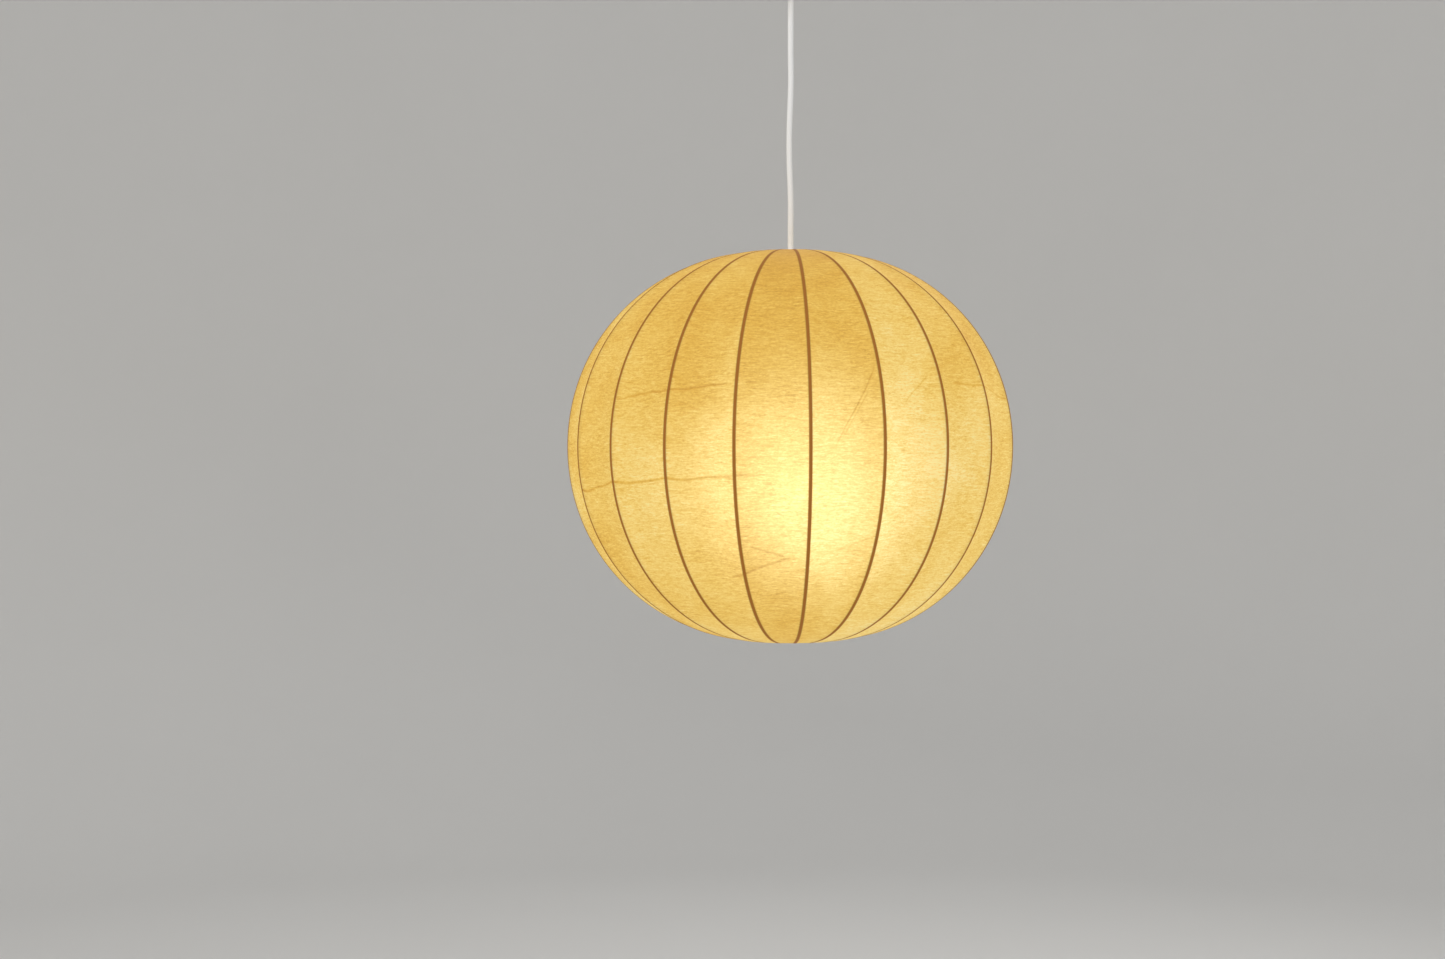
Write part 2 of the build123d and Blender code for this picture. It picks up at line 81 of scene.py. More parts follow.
class Body(Enum):
    """The moving bodies that a piece can ride on."""

    CEILING = "ceiling_fitting"
    CANOPY = "canopy"
    PENDANT = "pendant"
    SHADE = "shade"
    CONTACT = "bulb_contact"
    BULB = "bulb"


class Grain(Enum):
    """Which way a metal's working marks run, as stretches of a noise along X, Y and Z."""

    ROLLED = (30.0, 1400.0, 1400.0)
    TURNED = (60.0, 60.0, 5200.0)


# ---------------------------------------------------------------- node building

class NodeMaker:
    """Adds nodes to a tree and joins them in one call each."""

    def __init__(self, tree: bpy.types.NodeTree) -> None:
        """Keeps the tree that nodes are added to.

        Args:
            tree: A shader or geometry node tree.
        """
        self.tree = tree

    def add(self, kind: str, inputs: dict[Any, Any] | None = None, **settings: Any) -> bpy.types.Node:
        """Adds one node.

        Args:
            kind: The node's type.
            inputs: Values or sockets for its inputs, by name or number.
            settings: The node's own properties.

        Returns:
            The new node.
        """
        node = self.tree.nodes.new(kind)
        for name, value in settings.items():
            setattr(node, name, value)
        for key, value in (inputs or {}).items():
            self.join(node.inputs[key], value)
        return node

    def join(self, socket: Socket, value: Any) -> None:
        """Links another node's output to a socket, or sets the socket's own value.

        Args:
            socket: The input that is joined.
            value: Another node's output, or a plain value.
        """
        if isinstance(value, Socket):
            self.tree.links.new(value, socket)
        else:
            socket.default_value = value

    def math(self, operation: str, *values: Any) -> Socket:
        """The result of a Math node on one to three values or sockets."""
        return self.add("ShaderNodeMath", dict(enumerate(values)), operation=operation).outputs[0]

    def spot(self) -> Socket:
        """Object coordinates."""
        return self.add("ShaderNodeTexCoord").outputs["Object"]

    def uv(self, name: str) -> Socket:
        """The coordinates of a named UV map."""
        return self.add("ShaderNodeUVMap", uv_map=name).outputs[0]

    def stretched(self, vector: Socket, scale: Point, turn: float = 0.0) -> Socket:
        """A vector scaled by axis, and turned about Z by an angle in radians."""
        inputs = {"Vector": vector, "Scale": scale, "Rotation": (0.0, 0.0, turn)}
        return self.add("ShaderNodeMapping", inputs).outputs[0]

    def noise(self, vector: Socket, scale: float, detail: float = 3.0, warp: float = 0.0) -> Socket:
        """Noise from 0 to 1, mostly near a half.

        Args:
            vector: Where it is read.
            scale: Its cells for each unit of the vector.
            detail: How many finer octaves it has.
            warp: How far it is distorted.

        Returns:
            The noise's value.
        """
        inputs = {"Vector": vector, "Scale": scale, "Detail": detail, "Distortion": warp}
        return self.add("ShaderNodeTexNoise", inputs).outputs[0]

    def smooth(self, value: Any, low: float, high: float, start: float = 0.0, end: float = 1.0) -> Socket:
        """A smooth step: start at or under low, end at or over high."""
        inputs = {"Value": value, "From Min": low, "From Max": high, "To Min": start, "To Max": end}
        return self.add("ShaderNodeMapRange", inputs, interpolation_type="SMOOTHSTEP").outputs[0]

    def linear(self, value: Any, low: float, high: float, start: float = 0.0, end: float = 1.0) -> Socket:
        """A straight ramp: start at or under low, end at or over high."""
        inputs = {"Value": value, "From Min": low, "From Max": high, "To Min": start, "To Max": end}
        return self.add("ShaderNodeMapRange", inputs).outputs[0]

    def mix(self, factor: Any, first: Any, second: Any) -> Socket:
        """Two colours mixed by a factor: the first at 0, the second at 1."""
        a, b = (c if isinstance(c, Socket) else (*c, 1.0) for c in (first, second))
        return self.add("ShaderNodeMix", {0: factor, 6: a, 7: b}, data_type="RGBA").outputs[2]

    def ramp(self, value: Socket, stops: Sequence[tuple[float, Colour]]) -> Socket:
        """A colour ramp with stops given as a place from 0 to 1 and a colour.

        Args:
            value: Where the ramp is read.
            stops: Each stop's place and colour.

        Returns:
            The ramp's colour.
        """
        node = self.add("ShaderNodeValToRGB", {0: value})
        elements = node.color_ramp.elements
        while len(elements) < len(stops):
            elements.new(0.5)
        for element, (place, colour) in zip(elements, stops):
            element.position = place
            element.color = (*colour, 1.0)
        return node.outputs[0]

    def bump(self, height: Socket, depth: float, under: Socket | None = None) -> Socket:
        """A normal from a height that is worth depth metres where it is 1.

        Args:
            height: The height.
            depth: The relief in metres.
            under: A coarser normal that this one is laid on.

        Returns:
            The normal.
        """
        inputs: dict[str, Any] = {"Height": height, "Distance": depth, "Strength": 1.0}
        if under is not None:
            inputs["Normal"] = under
        return self.add("ShaderNodeBump", inputs).outputs[0]


def shades_of(colour: Colour, spread: float) -> tuple[Colour, Colour]:
    """A darker and a lighter shade of a colour, each a share of it away.

    Args:
        colour: The colour between them.
        spread: The share.

    Returns:
        The darker and the lighter shade.
    """
    darker = tuple(c * (1 - spread) for c in colour)
    lighter = tuple(min(1.0, c * (1 + spread)) for c in colour)
    return darker, lighter


# ---------------------------------------------------------------- finishes

@dataclass(frozen=True)
class Finish:
    """A surface finish that is built into a material once."""

    name: str
    colour: Colour
    roughness: float = 0.4

    def material(self) -> bpy.types.Material:
        """The finish's material, built at its first use.

        Returns:
            The material.
        """
        made = bpy.data.materials.get(self.name)
        if made is None:
            made = bpy.data.materials.new(self.name)
            made.use_nodes = True
            made.node_tree.nodes.clear()
            maker = NodeMaker(made.node_tree)
            surface = maker.add("ShaderNodeBsdfPrincipled")
            maker.add("ShaderNodeOutputMaterial", {"Surface": surface.outputs[0]})
            self.dress(maker, surface.inputs)
        return made

    def roughen(self, maker: NodeMaker, sockets: Any, pattern: Socket, less: float, more: float) -> None:
        """Varies the roughness with a noise pattern.

        Args:
            maker: Adds nodes to the material.
            sockets: The Principled shader's inputs.
            pattern: A noise from 0 to 1, mostly near a half.
            less: How far the roughness goes under the finish's own.
            more: How far it goes over it.
        """
        varied = maker.linear(pattern, 0.3, 0.7, self.roughness - less, self.roughness + more)
        maker.join(sockets["Roughness"], varied)

    def dress(self, maker: NodeMaker, sockets: Any) -> None:
        """Joins the finish's pattern to the shader's sockets.

        Args:
            maker: Adds nodes to the material.
            sockets: The Principled shader's inputs.
        """
        raise NotImplementedError


@dataclass(frozen=True)
class Moulded(Finish):
    """Injection-moulded plastic: a fine spark-eroded grain, faint flow clouds, handling marks."""

    grain_depth: float = 0.012 * MM
    grain_scale: float = 1900.0

    def dress(self, maker: NodeMaker, sockets: Any) -> None:
        """Cloudy colour, grain in the normal, and smears in the roughness.

        Args:
            maker: Adds nodes to the material.
            sockets: The Principled shader's inputs.
        """
        spot = maker.spot()
        cloud = maker.noise(spot, 28.0, warp=0.6)
        smear = maker.noise(maker.stretched(spot, (45.0, 45.0, 170.0)), 1.0, detail=5.0)
        maker.join(sockets["Base Color"], maker.mix(cloud, *shades_of(self.colour, 0.05)))
        self.roughen(maker, sockets, smear, 0.07, 0.09)
        waves = maker.bump(maker.noise(spot, 60.0), 0.03 * MM)
        grain = maker.bump(maker.noise(spot, self.grain_scale), self.grain_depth, waves)
        maker.join(sockets["Normal"], grain)


@dataclass(frozen=True)
class Metal(Finish):
    """Worked metal: tool marks along its grain, plating clouds and small dull spots."""

    grain: Grain = Grain.ROLLED
    mark_depth: float = 0.006 * MM

    def dress(self, maker: NodeMaker, sockets: Any) -> None:
        """Full metal with the marks in colour, roughness and normal.

        Args:
            maker: Adds nodes to the material.
            sockets: The Principled shader's inputs.
        """
        spot = maker.spot()
        marks = maker.noise(maker.stretched(spot, self.grain.value), 1.0, detail=4.0)
        cloud = maker.noise(spot, 110.0, detail=5.0, warp=1.0)
        dull = maker.smooth(maker.noise(spot, 420.0, detail=2.0), 0.62, 0.72)
        tone = maker.math("MULTIPLY_ADD", marks, 0.5, maker.math("MULTIPLY", cloud, 0.5))
        plain = maker.mix(tone, *shades_of(self.colour, 0.16))
        dark = tuple(c * 0.55 for c in self.colour)
        maker.join(sockets["Base Color"], maker.mix(maker.math("MULTIPLY", dull, 0.4), plain, dark))
        sockets["Metallic"].default_value = 1.0
        rough = maker.linear(tone, 0.3, 0.7, self.roughness - 0.08, self.roughness + 0.1)
        maker.join(sockets["Roughness"], maker.math("MULTIPLY_ADD", dull, 0.2, rough))
        maker.join(sockets["Normal"], maker.bump(marks, self.mark_depth))


@dataclass(frozen=True)
class Lacquered(Finish):
    """Steel wire under a thin brown lacquer: runs, thin spots and a soft gloss."""

    bare: Colour = (0.42, 0.34, 0.25)

    def dress(self, maker: NodeMaker, sockets: Any) -> None:
        """Brown lacquer that is paler where it is thin.

        Args:
            maker: Adds nodes to the material.
            sockets: The Principled shader's inputs.
        """
        spot = maker.spot()
        runs = maker.noise(spot, 70.0, detail=5.0, warp=0.8)
        thin = maker.smooth(maker.noise(spot, 240.0, detail=4.0), 0.6, 0.74)
        body = maker.mix(runs, *shades_of(self.colour, 0.3))
        maker.join(sockets["Base Color"], maker.mix(maker.math("MULTIPLY", thin, 0.5), body, self.bare))
        self.roughen(maker, sockets, runs, 0.1, 0.1)
        sockets["Coat Weight"].default_value = 0.3
        sockets["Coat Roughness"].default_value = 0.2
        maker.join(sockets["Normal"], maker.bump(runs, 0.05 * MM))


@dataclass(frozen=True)
class Sheath(Finish):
    """Extruded cord sheath: lengthwise die lines, faint waves and handling grey."""

    grime: Colour = (0.52, 0.5, 0.46)

    def dress(self, maker: NodeMaker, sockets: Any) -> None:
        """White with greyed patches, in the cord's own UV map of metres round and along.

        Args:
            maker: Adds nodes to the material.
            sockets: The Principled shader's inputs.
        """
        along = maker.uv("cord")
        lines = maker.noise(maker.stretched(along, (2600.0, 14.0, 1.0)), 1.0, detail=2.0)
        wave = maker.noise(maker.stretched(along, (40.0, 120.0, 1.0)), 1.0, detail=3.0)
        patches = maker.noise(maker.stretched(along, (150.0, 34.0, 1.0)), 1.0, detail=5.0)
        soiled = maker.smooth(patches, 0.5, 0.8)
        clean = maker.mix(lines, *shades_of(self.colour, 0.04))
        maker.join(sockets["Base Color"], maker.mix(maker.math("MULTIPLY", soiled, 0.25), clean, self.grime))
        self.roughen(maker, sockets, wave, 0.06, 0.1)
        height = maker.math("MULTIPLY_ADD", wave, 3.0, lines)
        maker.join(sockets["Normal"], maker.bump(height, 0.02 * MM))


@dataclass(frozen=True)
class Fired(Finish):
    """Glazed ceramic or glass: specks, a pooled coat and a slight unevenness."""

    coat: float = 0.6
    speck: Colour = (0.35, 0.28, 0.2)

    def dress(self, maker: NodeMaker, sockets: Any) -> None:
        """Speckled body under a clear coat.

        Args:
            maker: Adds nodes to the material.
            sockets: The Principled shader's inputs.
        """
        spot = maker.spot()
        specks = maker.smooth(maker.noise(spot, 900.0, detail=2.0), 0.68, 0.76)
        pools = maker.noise(spot, 150.0, warp=0.5)
        body = maker.mix(pools, *shades_of(self.colour, 0.06))
        maker.join(sockets["Base Color"], maker.mix(maker.math("MULTIPLY", specks, 0.5), body, self.speck))
        self.roughen(maker, sockets, pools, 0.05, 0.1)
        sockets["Coat Weight"].default_value = self.coat
        sockets["Coat Roughness"].default_value = 0.08
        maker.join(sockets["Normal"], maker.bump(pools, 0.08 * MM))


@dataclass(frozen=True)
class FrostedGlow(Finish):
    """Lit frosted glass: brightest round the filament, dimmer and yellower at the neck."""

    centre: float = -0.582
    neck: float = -0.532
    brightness: float = 5.0

    def dress(self, maker: NodeMaker, sockets: Any) -> None:
        """Light that falls off up the neck, with an etched grain.

        Args:
            maker: Adds nodes to the material.
            sockets: The Principled shader's inputs.
        """
        spot = maker.spot()
        height = maker.add("ShaderNodeSeparateXYZ", {0: spot}).outputs["Z"]
        etch = maker.noise(spot, 1500.0, detail=2.0)
        lit = maker.smooth(height, self.centre, self.neck, 1.0, 0.12)
        grainy = maker.math("MULTIPLY", lit, maker.linear(etch, 0.2, 0.8, 0.94, 1.06))
        stops = [(0.0, (0.25, 0.12, 0.03)), (0.45, (0.9, 0.62, 0.3)), (1.0, (1.0, 0.9, 0.7))]
        maker.join(sockets["Emission Color"], maker.ramp(grainy, stops))
        sockets["Emission Strength"].default_value = self.brightness
        maker.join(sockets["Base Color"], maker.mix(etch, *shades_of(self.colour, 0.04)))
        self.roughen(maker, sockets, etch, 0.06, 0.06)
        maker.join(sockets["Normal"], maker.bump(etch, 0.006 * MM))


@dataclass(frozen=True)
class Paper(Finish):
    """Pale studio paper for the floor and its sweep."""

    def dress(self, maker: NodeMaker, sockets: Any) -> None:
        """Barely clouded paper, fully matt.

        Args:
            maker: Adds nodes to the material.
            sockets: The Principled shader's inputs.
        """
        cloud = maker.noise(maker.spot(), 1.3, detail=2.0)
        maker.join(sockets["Base Color"], maker.mix(cloud, *shades_of(self.colour, 0.015)))
        sockets["Roughness"].default_value = self.roughness
        sockets["Specular IOR Level"].default_value = 0.1


@dataclass(frozen=True)
class Crease:
    """A fold in the film: its two ends as degrees from the front and heights from the centre.

    The width is from the fold's middle to its edge, and the depth is its strength, in the painted shade along
    it and in its relief.
    """

    start: float
    end: float
    start_height: float
    end_height: float
    width: float = 2.0 * MM
    depth: float = 1.0


CREASES = (
    Crease(-48.0, -14.5, 0.048, 0.063),
    Crease(-73.0, -6.0, -0.044, -0.026, depth=1.2),
    Crease(-18.5, 1.0, -0.130, -0.111),
    Crease(-11.0, -1.0, -0.098, -0.112, depth=0.7),
    Crease(22.0, 10.6, 0.086, 0.0, width=2.6 * MM, depth=0.7),
    Crease(19.5, 13.0, 0.060, 0.012, width=2.2 * MM, depth=0.5),
    Crease(37.0, 29.0, 0.071, 0.040, width=1.8 * MM, depth=0.6),
    Crease(45.5, 78.0, 0.064, 0.049, depth=0.8),
    Crease(12.0, 24.0, -0.102, -0.085, width=1.6 * MM, depth=0.5),
    Crease(118.0, 171.0, 0.020, 0.043),
    Crease(139.0, 158.0, -0.096, -0.058, width=1.8 * MM, depth=0.6),
    Crease(196.0, 238.0, -0.048, -0.031),
    Crease(214.0, 204.0, 0.122, 0.064, width=2.2 * MM, depth=0.6),
    Crease(243.0, 266.0, 0.104, 0.088, depth=0.8),
)


@dataclass(frozen=True)
class LitFilm(Finish):
    """Sprayed film with a lamp behind it: amber where it is thick, cream where it is thin.

    The web of sprayed threads runs round the ball. The emission is painted glow that stands in for
    the lamp's light through the film; the lamp's real light comes through it as well.
    """

    rib_count: int = RIB_COUNT
    rib_phase: float = FIRST_RIB_DEGREES
    centre: float = BALL_CENTRE
    half_height: float = 0.21
    rib_line: tuple[float, float] = (1.0 * MM, 2.7 * MM)
    rib_colour: Colour = (0.16, 0.062, 0.014)
    # The glow over a rib: painted shadow of its wire.
    painted_rib_shadow: Colour = (0.19, 0.075, 0.010)
    clearness: float = 0.5
    bend: float = 1.5
    # Painted glow at the foot and the top of the ball, and its painted falloff away from the lamp.
    painted_foot_glow: float = 0.62
    painted_top_glow: float = 0.48
    lamp_drop: float = 0.04
    painted_falloff_share: float = 0.16
    tone_share: float = 0.22
    cloud_share: float = 0.8
    thread_share: float = 2.4
    wisp_share: float = 0.16
    fold_shade_share: float = 0.34
    glow: tuple[tuple[float, Colour], ...] = (
        (0.0, (0.38, 0.150, 0.004)),
        (0.3, (0.46, 0.235, 0.014)),
        (0.55, (0.52, 0.330, 0.058)),
        (0.8, (0.56, 0.425, 0.14)),
        (1.0, (0.57, 0.50, 0.25)),
    )

    def dress(self, maker: NodeMaker, sockets: Any) -> None:
        """Builds the film's thickness and its painted glow, then its colour, painted light, gloss and relief
        from them.

        Args:
            maker: Adds nodes to the material.
            sockets: The Principled shader's inputs.
        """
        spot = maker.spot()
        x, y, z = maker.add("ShaderNodeSeparateXYZ", {0: spot}).outputs
        height = maker.math("SUBTRACT", z, self.centre)
        around = maker.add("ShaderNodeSeparateXYZ", {0: maker.uv("around")}).outputs["X"]
        rib = self.rib_mask(maker, maker.math("MULTIPLY", around, float(self.rib_count)), x, y)
        folds = self.fold_mask(maker, around, height)
        threads = self.thread_noise(maker)
        wisps = self.wisps(maker)
        tone = maker.add("ShaderNodeAttribute", attribute_name="gore_tone").outputs["Fac"]
        cloud = maker.noise(spot, 9.0, detail=5.0, warp=0.5)

        # Painted light and shade: the glow is brighter low down, where the lamp hangs, and darker at the top
        # in the lamp holder's painted shade. It falls off further above and below the lamp.
        level = maker.linear(height, -self.half_height, self.half_height, self.painted_foot_glow, self.painted_top_glow)
        near = maker.math("MULTIPLY", maker.math("ADD", height, self.lamp_drop), 1 / self.half_height)
        level = maker.math("MULTIPLY_ADD", maker.math("MULTIPLY", near, near), -self.painted_falloff_share, level)
        shares = ((tone, 0.0, self.tone_share), (cloud, 0.5, self.cloud_share),
                  (threads, 0.5, self.thread_share))
        for part, middle, share in shares:
            swing = maker.math("MULTIPLY", maker.math("SUBTRACT", part, middle), share)
            level = maker.math("ADD", level, swing)
        level = maker.math("MULTIPLY_ADD", wisps, -self.wisp_share, level)
        # Painted shade along the creases, which darken the glow.
        level = maker.math("MULTIPLY_ADD", folds, -self.fold_shade_share, level)

        # Painted shadow of each rib's wire on the glow.
        light = maker.mix(rib, maker.ramp(level, self.glow), self.painted_rib_shadow)
        # The base colour is lighter where the painted glow is brighter, so the painted light and shade are in
        # it too.
        shown = maker.mix(rib, maker.mix(level, *shades_of(self.colour, 0.25)), self.rib_colour)
        maker.join(sockets["Base Color"], shown)
        # The emission is painted light: a glow that stands in for the lamp's light through the film, though
        # the film is no lamp.
        maker.join(sockets["Emission Color"], light)
        sockets["Emission Strength"].default_value = 1.0
        thin = maker.linear(level, 0.0, 1.0, self.clearness * 0.75, self.clearness * 1.25)
        clear = maker.math("MULTIPLY", thin, maker.math("SUBTRACT", 1.0, rib))
        maker.join(sockets["Transmission Weight"], clear)
        sockets["IOR"].default_value = self.bend
        sockets["Specular IOR Level"].default_value = 0.3
        smoother = maker.linear(threads, 0.4, 0.6, self.roughness + 0.05, self.roughness - 0.05)
        maker.join(sockets["Roughness"], smoother)
        relief = maker.bump(maker.math("MULTIPLY_ADD", folds, 1.5, threads), 0.25 * MM)
        maker.join(sockets["Normal"], maker.bump(cloud, 1.5 * MM, relief))

    def rib_mask(self, maker: NodeMaker, gore: Socket, x: Socket, y: Socket) -> Socket:
        """1 over a rib's wire and 0 away from it.

        Args:
            maker: Adds nodes to the material.
            gore: The place round the ball, a whole number at each rib.
            x: The object's X.
            y: The object's Y.

        Returns:
            The mask.
        """
        squares = maker.math("MULTIPLY_ADD", x, x, maker.math("MULTIPLY", y, y))
        radius = maker.math("SQRT", squares)
        share = maker.math("PINGPONG", gore, 0.5)
        gap = maker.math("MULTIPLY", maker.math("MULTIPLY", share, 2 * math.pi / self.rib_count), radius)
        return maker.smooth(gap, *self.rib_line, 1.0, 0.0)

    def thread_noise(self, maker: NodeMaker) -> Socket:
        """The sprayed threads: long streaks round the ball, crossed by finer slanting ones.

        Args:
            maker: Adds nodes to the material.

        Returns:
            The threads' height, near a half.
        """
        web = maker.uv("web")
        layers = ((60.0, 430.0, 0.04, 1.6), (120.0, 760.0, -0.06, 1.2), (95.0, 560.0, 0.34, 1.4),
                  (95.0, 600.0, -0.38, 1.4), (420.0, 520.0, 0.0, 0.6))
        total: Any = 0.0
        for along, across, turn, warp in layers:
            layer = maker.noise(maker.stretched(web, (along, across, 1.0), turn), 1.0, detail=2.0, warp=warp)
            total = maker.math("MULTIPLY_ADD", layer, 1 / len(layers), total)
        return total

    def wisps(self, maker: NodeMaker) -> Socket:
        """Single long threads: 1 on thin wandering lines and 0 between them.

        Args:
            maker: Adds nodes to the material.

        Returns:
            The sum of the threads' masks.
        """
        web = maker.uv("web")
        total: Any = 0.0
        for along, across, turn, thin in ((22.0, 120.0, 0.05, 0.016), (34.0, 170.0, -0.2, 0.02),
                                          (26.0, 140.0, 0.42, 0.014)):
            field = maker.noise(maker.stretched(web, (along, across, 1.0), turn), 1.0, detail=3.0, warp=1.0)
            off_middle = maker.math("ABSOLUTE", maker.math("SUBTRACT", field, 0.5))
            line = maker.smooth(off_middle, 0.0, thin, 1.0, 0.0)
            total = maker.math("ADD", line, total)
        patchy = maker.smooth(maker.noise(maker.spot(), 34.0, detail=2.0), 0.42, 0.6)
        return maker.math("MULTIPLY", total, patchy)

    def fold_mask(self, maker: NodeMaker, around: Socket, height: Socket) -> Socket:
        """1 along the creases and 0 away from them.

        Args:
            maker: Adds nodes to the material.
            around: The share of a turn from the first rib.
            height: The height from the ball's centre.

        Returns:
            The sum of the creases' masks.
        """
        wander = maker.noise(maker.stretched(maker.spot(), (17.0, 17.0, 9.0)), 1.0, detail=1.5)
        shift = maker.math("MULTIPLY", maker.math("SUBTRACT", wander, 0.5), 20 * MM)
        level = maker.math("ADD", height, shift)
        total: Any = 0.0
        for crease in CREASES:
            ends = sorted(((crease.start, crease.start_height), (crease.end, crease.end_height)))
            (low, low_height), (high, high_height) = ends
            first, last = ((angle - 90.0 - self.rib_phase) % 360 / 360 for angle in (low, high))
            line = maker.add("ShaderNodeMapRange", {
                "Value": around, "From Min": first, "From Max": last,
                "To Min": low_height, "To Max": high_height}).outputs[0]
            gap = maker.math("ABSOLUTE", maker.math("SUBTRACT", level, line))
            fold = maker.smooth(gap, 0.0, crease.width, crease.depth, 0.0)
            fade = 0.12 * (last - first)
            inside = maker.math("MULTIPLY", maker.smooth(around, first, first + fade),
                                maker.smooth(around, last - fade, last, 1.0, 0.0))
            total = maker.math("MULTIPLY_ADD", fold, inside, total)
        return maker.math("MINIMUM", total, 1.2)


FILM = LitFilm("sprayed_film", (0.27, 0.215, 0.080), 0.94)
FRAME_WIRE = Lacquered("frame_wire", (0.13, 0.07, 0.035), 0.42)
ZINC_SHEET = Metal("zinc_sheet", (0.62, 0.63, 0.65), 0.36, Grain.ROLLED)
ZINC_SCREW = Metal("zinc_screw", (0.68, 0.68, 0.68), 0.26, Grain.TURNED)
ZINC_TUBE = Metal("zinc_tube", (0.6, 0.61, 0.62), 0.3, Grain.TURNED)
BRASS = Metal("brass", (0.78, 0.57, 0.25), 0.25, Grain.TURNED)
CAP_METAL = Metal("cap_metal", (0.8, 0.79, 0.76), 0.22, Grain.TURNED)
SOLDER = Metal("solder", (0.62, 0.62, 0.63), 0.42, Grain.ROLLED, 0.03 * MM)
CANOPY_PLASTIC = Moulded("canopy_plastic", (0.82, 0.82, 0.80), 0.34)
FITTING_PLASTIC = Moulded("fitting_plastic", (0.80, 0.80, 0.78), 0.42)
HOLDER_PLASTIC = Moulded("holder_plastic", (0.82, 0.81, 0.78), 0.3)
BLOCK_PLASTIC = Moulded("block_plastic", (0.76, 0.76, 0.72), 0.5)
SEAL_RUBBER = Moulded("seal_rubber", (0.05, 0.05, 0.053), 0.7, 0.02 * MM)
LIVE_CORE = Moulded("live_core", (0.16, 0.05, 0.018), 0.38)
NEUTRAL_CORE = Moulded("neutral_core", (0.02, 0.075, 0.36), 0.38)
CORD_SHEATH = Sheath("cord_sheath", (0.84, 0.85, 0.86), 0.4)
CERAMIC = Fired("holder_ceramic", (0.84, 0.81, 0.74), 0.3)
BLACK_GLASS = Fired("black_glass", (0.015, 0.015, 0.018), 0.12)
LIT_GLASS = FrostedGlow("lit_glass", (0.9, 0.88, 0.82), 0.38)
STUDIO_PAPER = Paper("studio_paper", (0.80, 0.79, 0.77), 0.95)


# ---------------------------------------------------------------- meshes

def new_object(name: str, vertices: Any, faces: Any, smooth_under: float = 40.0) -> bpy.types.Object:
    """A closed mesh in the scene, its doubles merged and its faces pointing outwards.

    Args:
        name: The object's name.
        vertices: Points in metres.
        faces: Vertex numbers for each face.
        smooth_under: Edges that turn by less than this many degrees are shaded smooth.

    Returns:
        The new object, at the origin.
    """
    mesh = bpy.data.meshes.new(name)
    mesh.from_pydata([tuple(map(float, v)) for v in vertices], [], [tuple(map(int, f)) for f in faces])
    work = bmesh.new()
    work.from_mesh(mesh)
    bmesh.ops.remove_doubles(work, verts=work.verts, dist=1e-7)
    bmesh.ops.recalc_face_normals(work, faces=work.faces)
    work.to_mesh(mesh)
    work.free()
    return shown(name, mesh, smooth_under)


def shown(name: str, mesh: bpy.types.Mesh, smooth_under: float = 40.0) -> bpy.types.Object:
    """Links a mesh to the scene, shaded smooth under an angle in degrees.

    Args:
        name: The new object's name.
        mesh: The mesh.
        smooth_under: Edges that turn by less than this many degrees are shaded smooth.

    Returns:
        The new object, at the origin.
    """
    mesh.shade_smooth()
    mesh.set_sharp_from_angle(angle=math.radians(smooth_under))
    piece = bpy.data.objects.new(name, mesh)
    bpy.context.scene.collection.objects.link(piece)
    return piece


def rounded(corners: Corners, steps: int = 5) -> Outline:
    """A closed outline with its corners filleted.

    Args:
        corners: Each corner as radius, height and fillet radius.
        steps: How many runs each fillet has.

    Returns:
        The outline's points as radius and height.
    """
    points: Outline = []
    for i, (r, z, fillet) in enumerate(corners):
        here = Vector((r, z))
        before = Vector(corners[i - 1][:2]) - here
        after = Vector(corners[(i + 1) % len(corners)][:2]) - here
        half = before.angle(after) / 2
        if fillet == 0 or half > math.radians(89):
            points.append((r, z))
            continue
        reach = min(fillet / math.tan(half), 0.48 * before.length, 0.48 * after.length)
        bend = reach * math.tan(half)
        middle = here + (before.normalized() + after.normalized()).normalized() * bend / math.sin(half)
        a = here + before.normalized() * reach - middle
        b = here + after.normalized() * reach - middle
        turn = a.angle(b)
        for k in range(steps + 1):
            t = k / steps
            spoke = (a * math.sin((1 - t) * turn) + b * math.sin(t * turn)) / math.sin(turn)
            points.append(tuple(middle + spoke))
    return points


def rounded_mm(corners: Corners, lift: float = 0.0, steps: int = 5) -> Outline:
    """A filleted outline in metres from corners in millimetres, raised by lift metres."""
    return rounded([(r * MM, lift + z * MM, fillet * MM) for r, z, fillet in corners], steps)


def lathed(name: str, outline: Outline, segments: int = 96, smooth_under: float = 40.0) -> bpy.types.Object:
    """A solid of revolution about Z from a closed outline.

    Args:
        name: The object's name.
        outline: Points as radius and height, none repeated.
        segments: Steps round the axis.
        smooth_under: Edges that turn by less than this many degrees are shaded smooth.

    Returns:
        The new object.
    """
    angles = np.linspace(0, 2 * math.pi, segments, endpoint=False)
    r, z = np.array(outline).T
    vertices = np.stack([np.outer(np.cos(angles), r), np.outer(np.sin(angles), r),
                         np.tile(z, (segments, 1))], axis=-1).reshape(-1, 3)
    count = len(outline)
    faces = []
    for j in range(count):
        following = (j + 1) % count
        if r[j] < 1e-9 and r[following] < 1e-9:
            continue
        for i in range(segments):
            ahead = (i + 1) % segments
            corners = [i * count + j, ahead * count + j, ahead * count + following, i * count + following]
            if r[j] < 1e-9:
                corners.pop(1)
            elif r[following] < 1e-9:
                corners.pop(2)
            faces.append(corners)
    return new_object(name, vertices, faces, smooth_under)


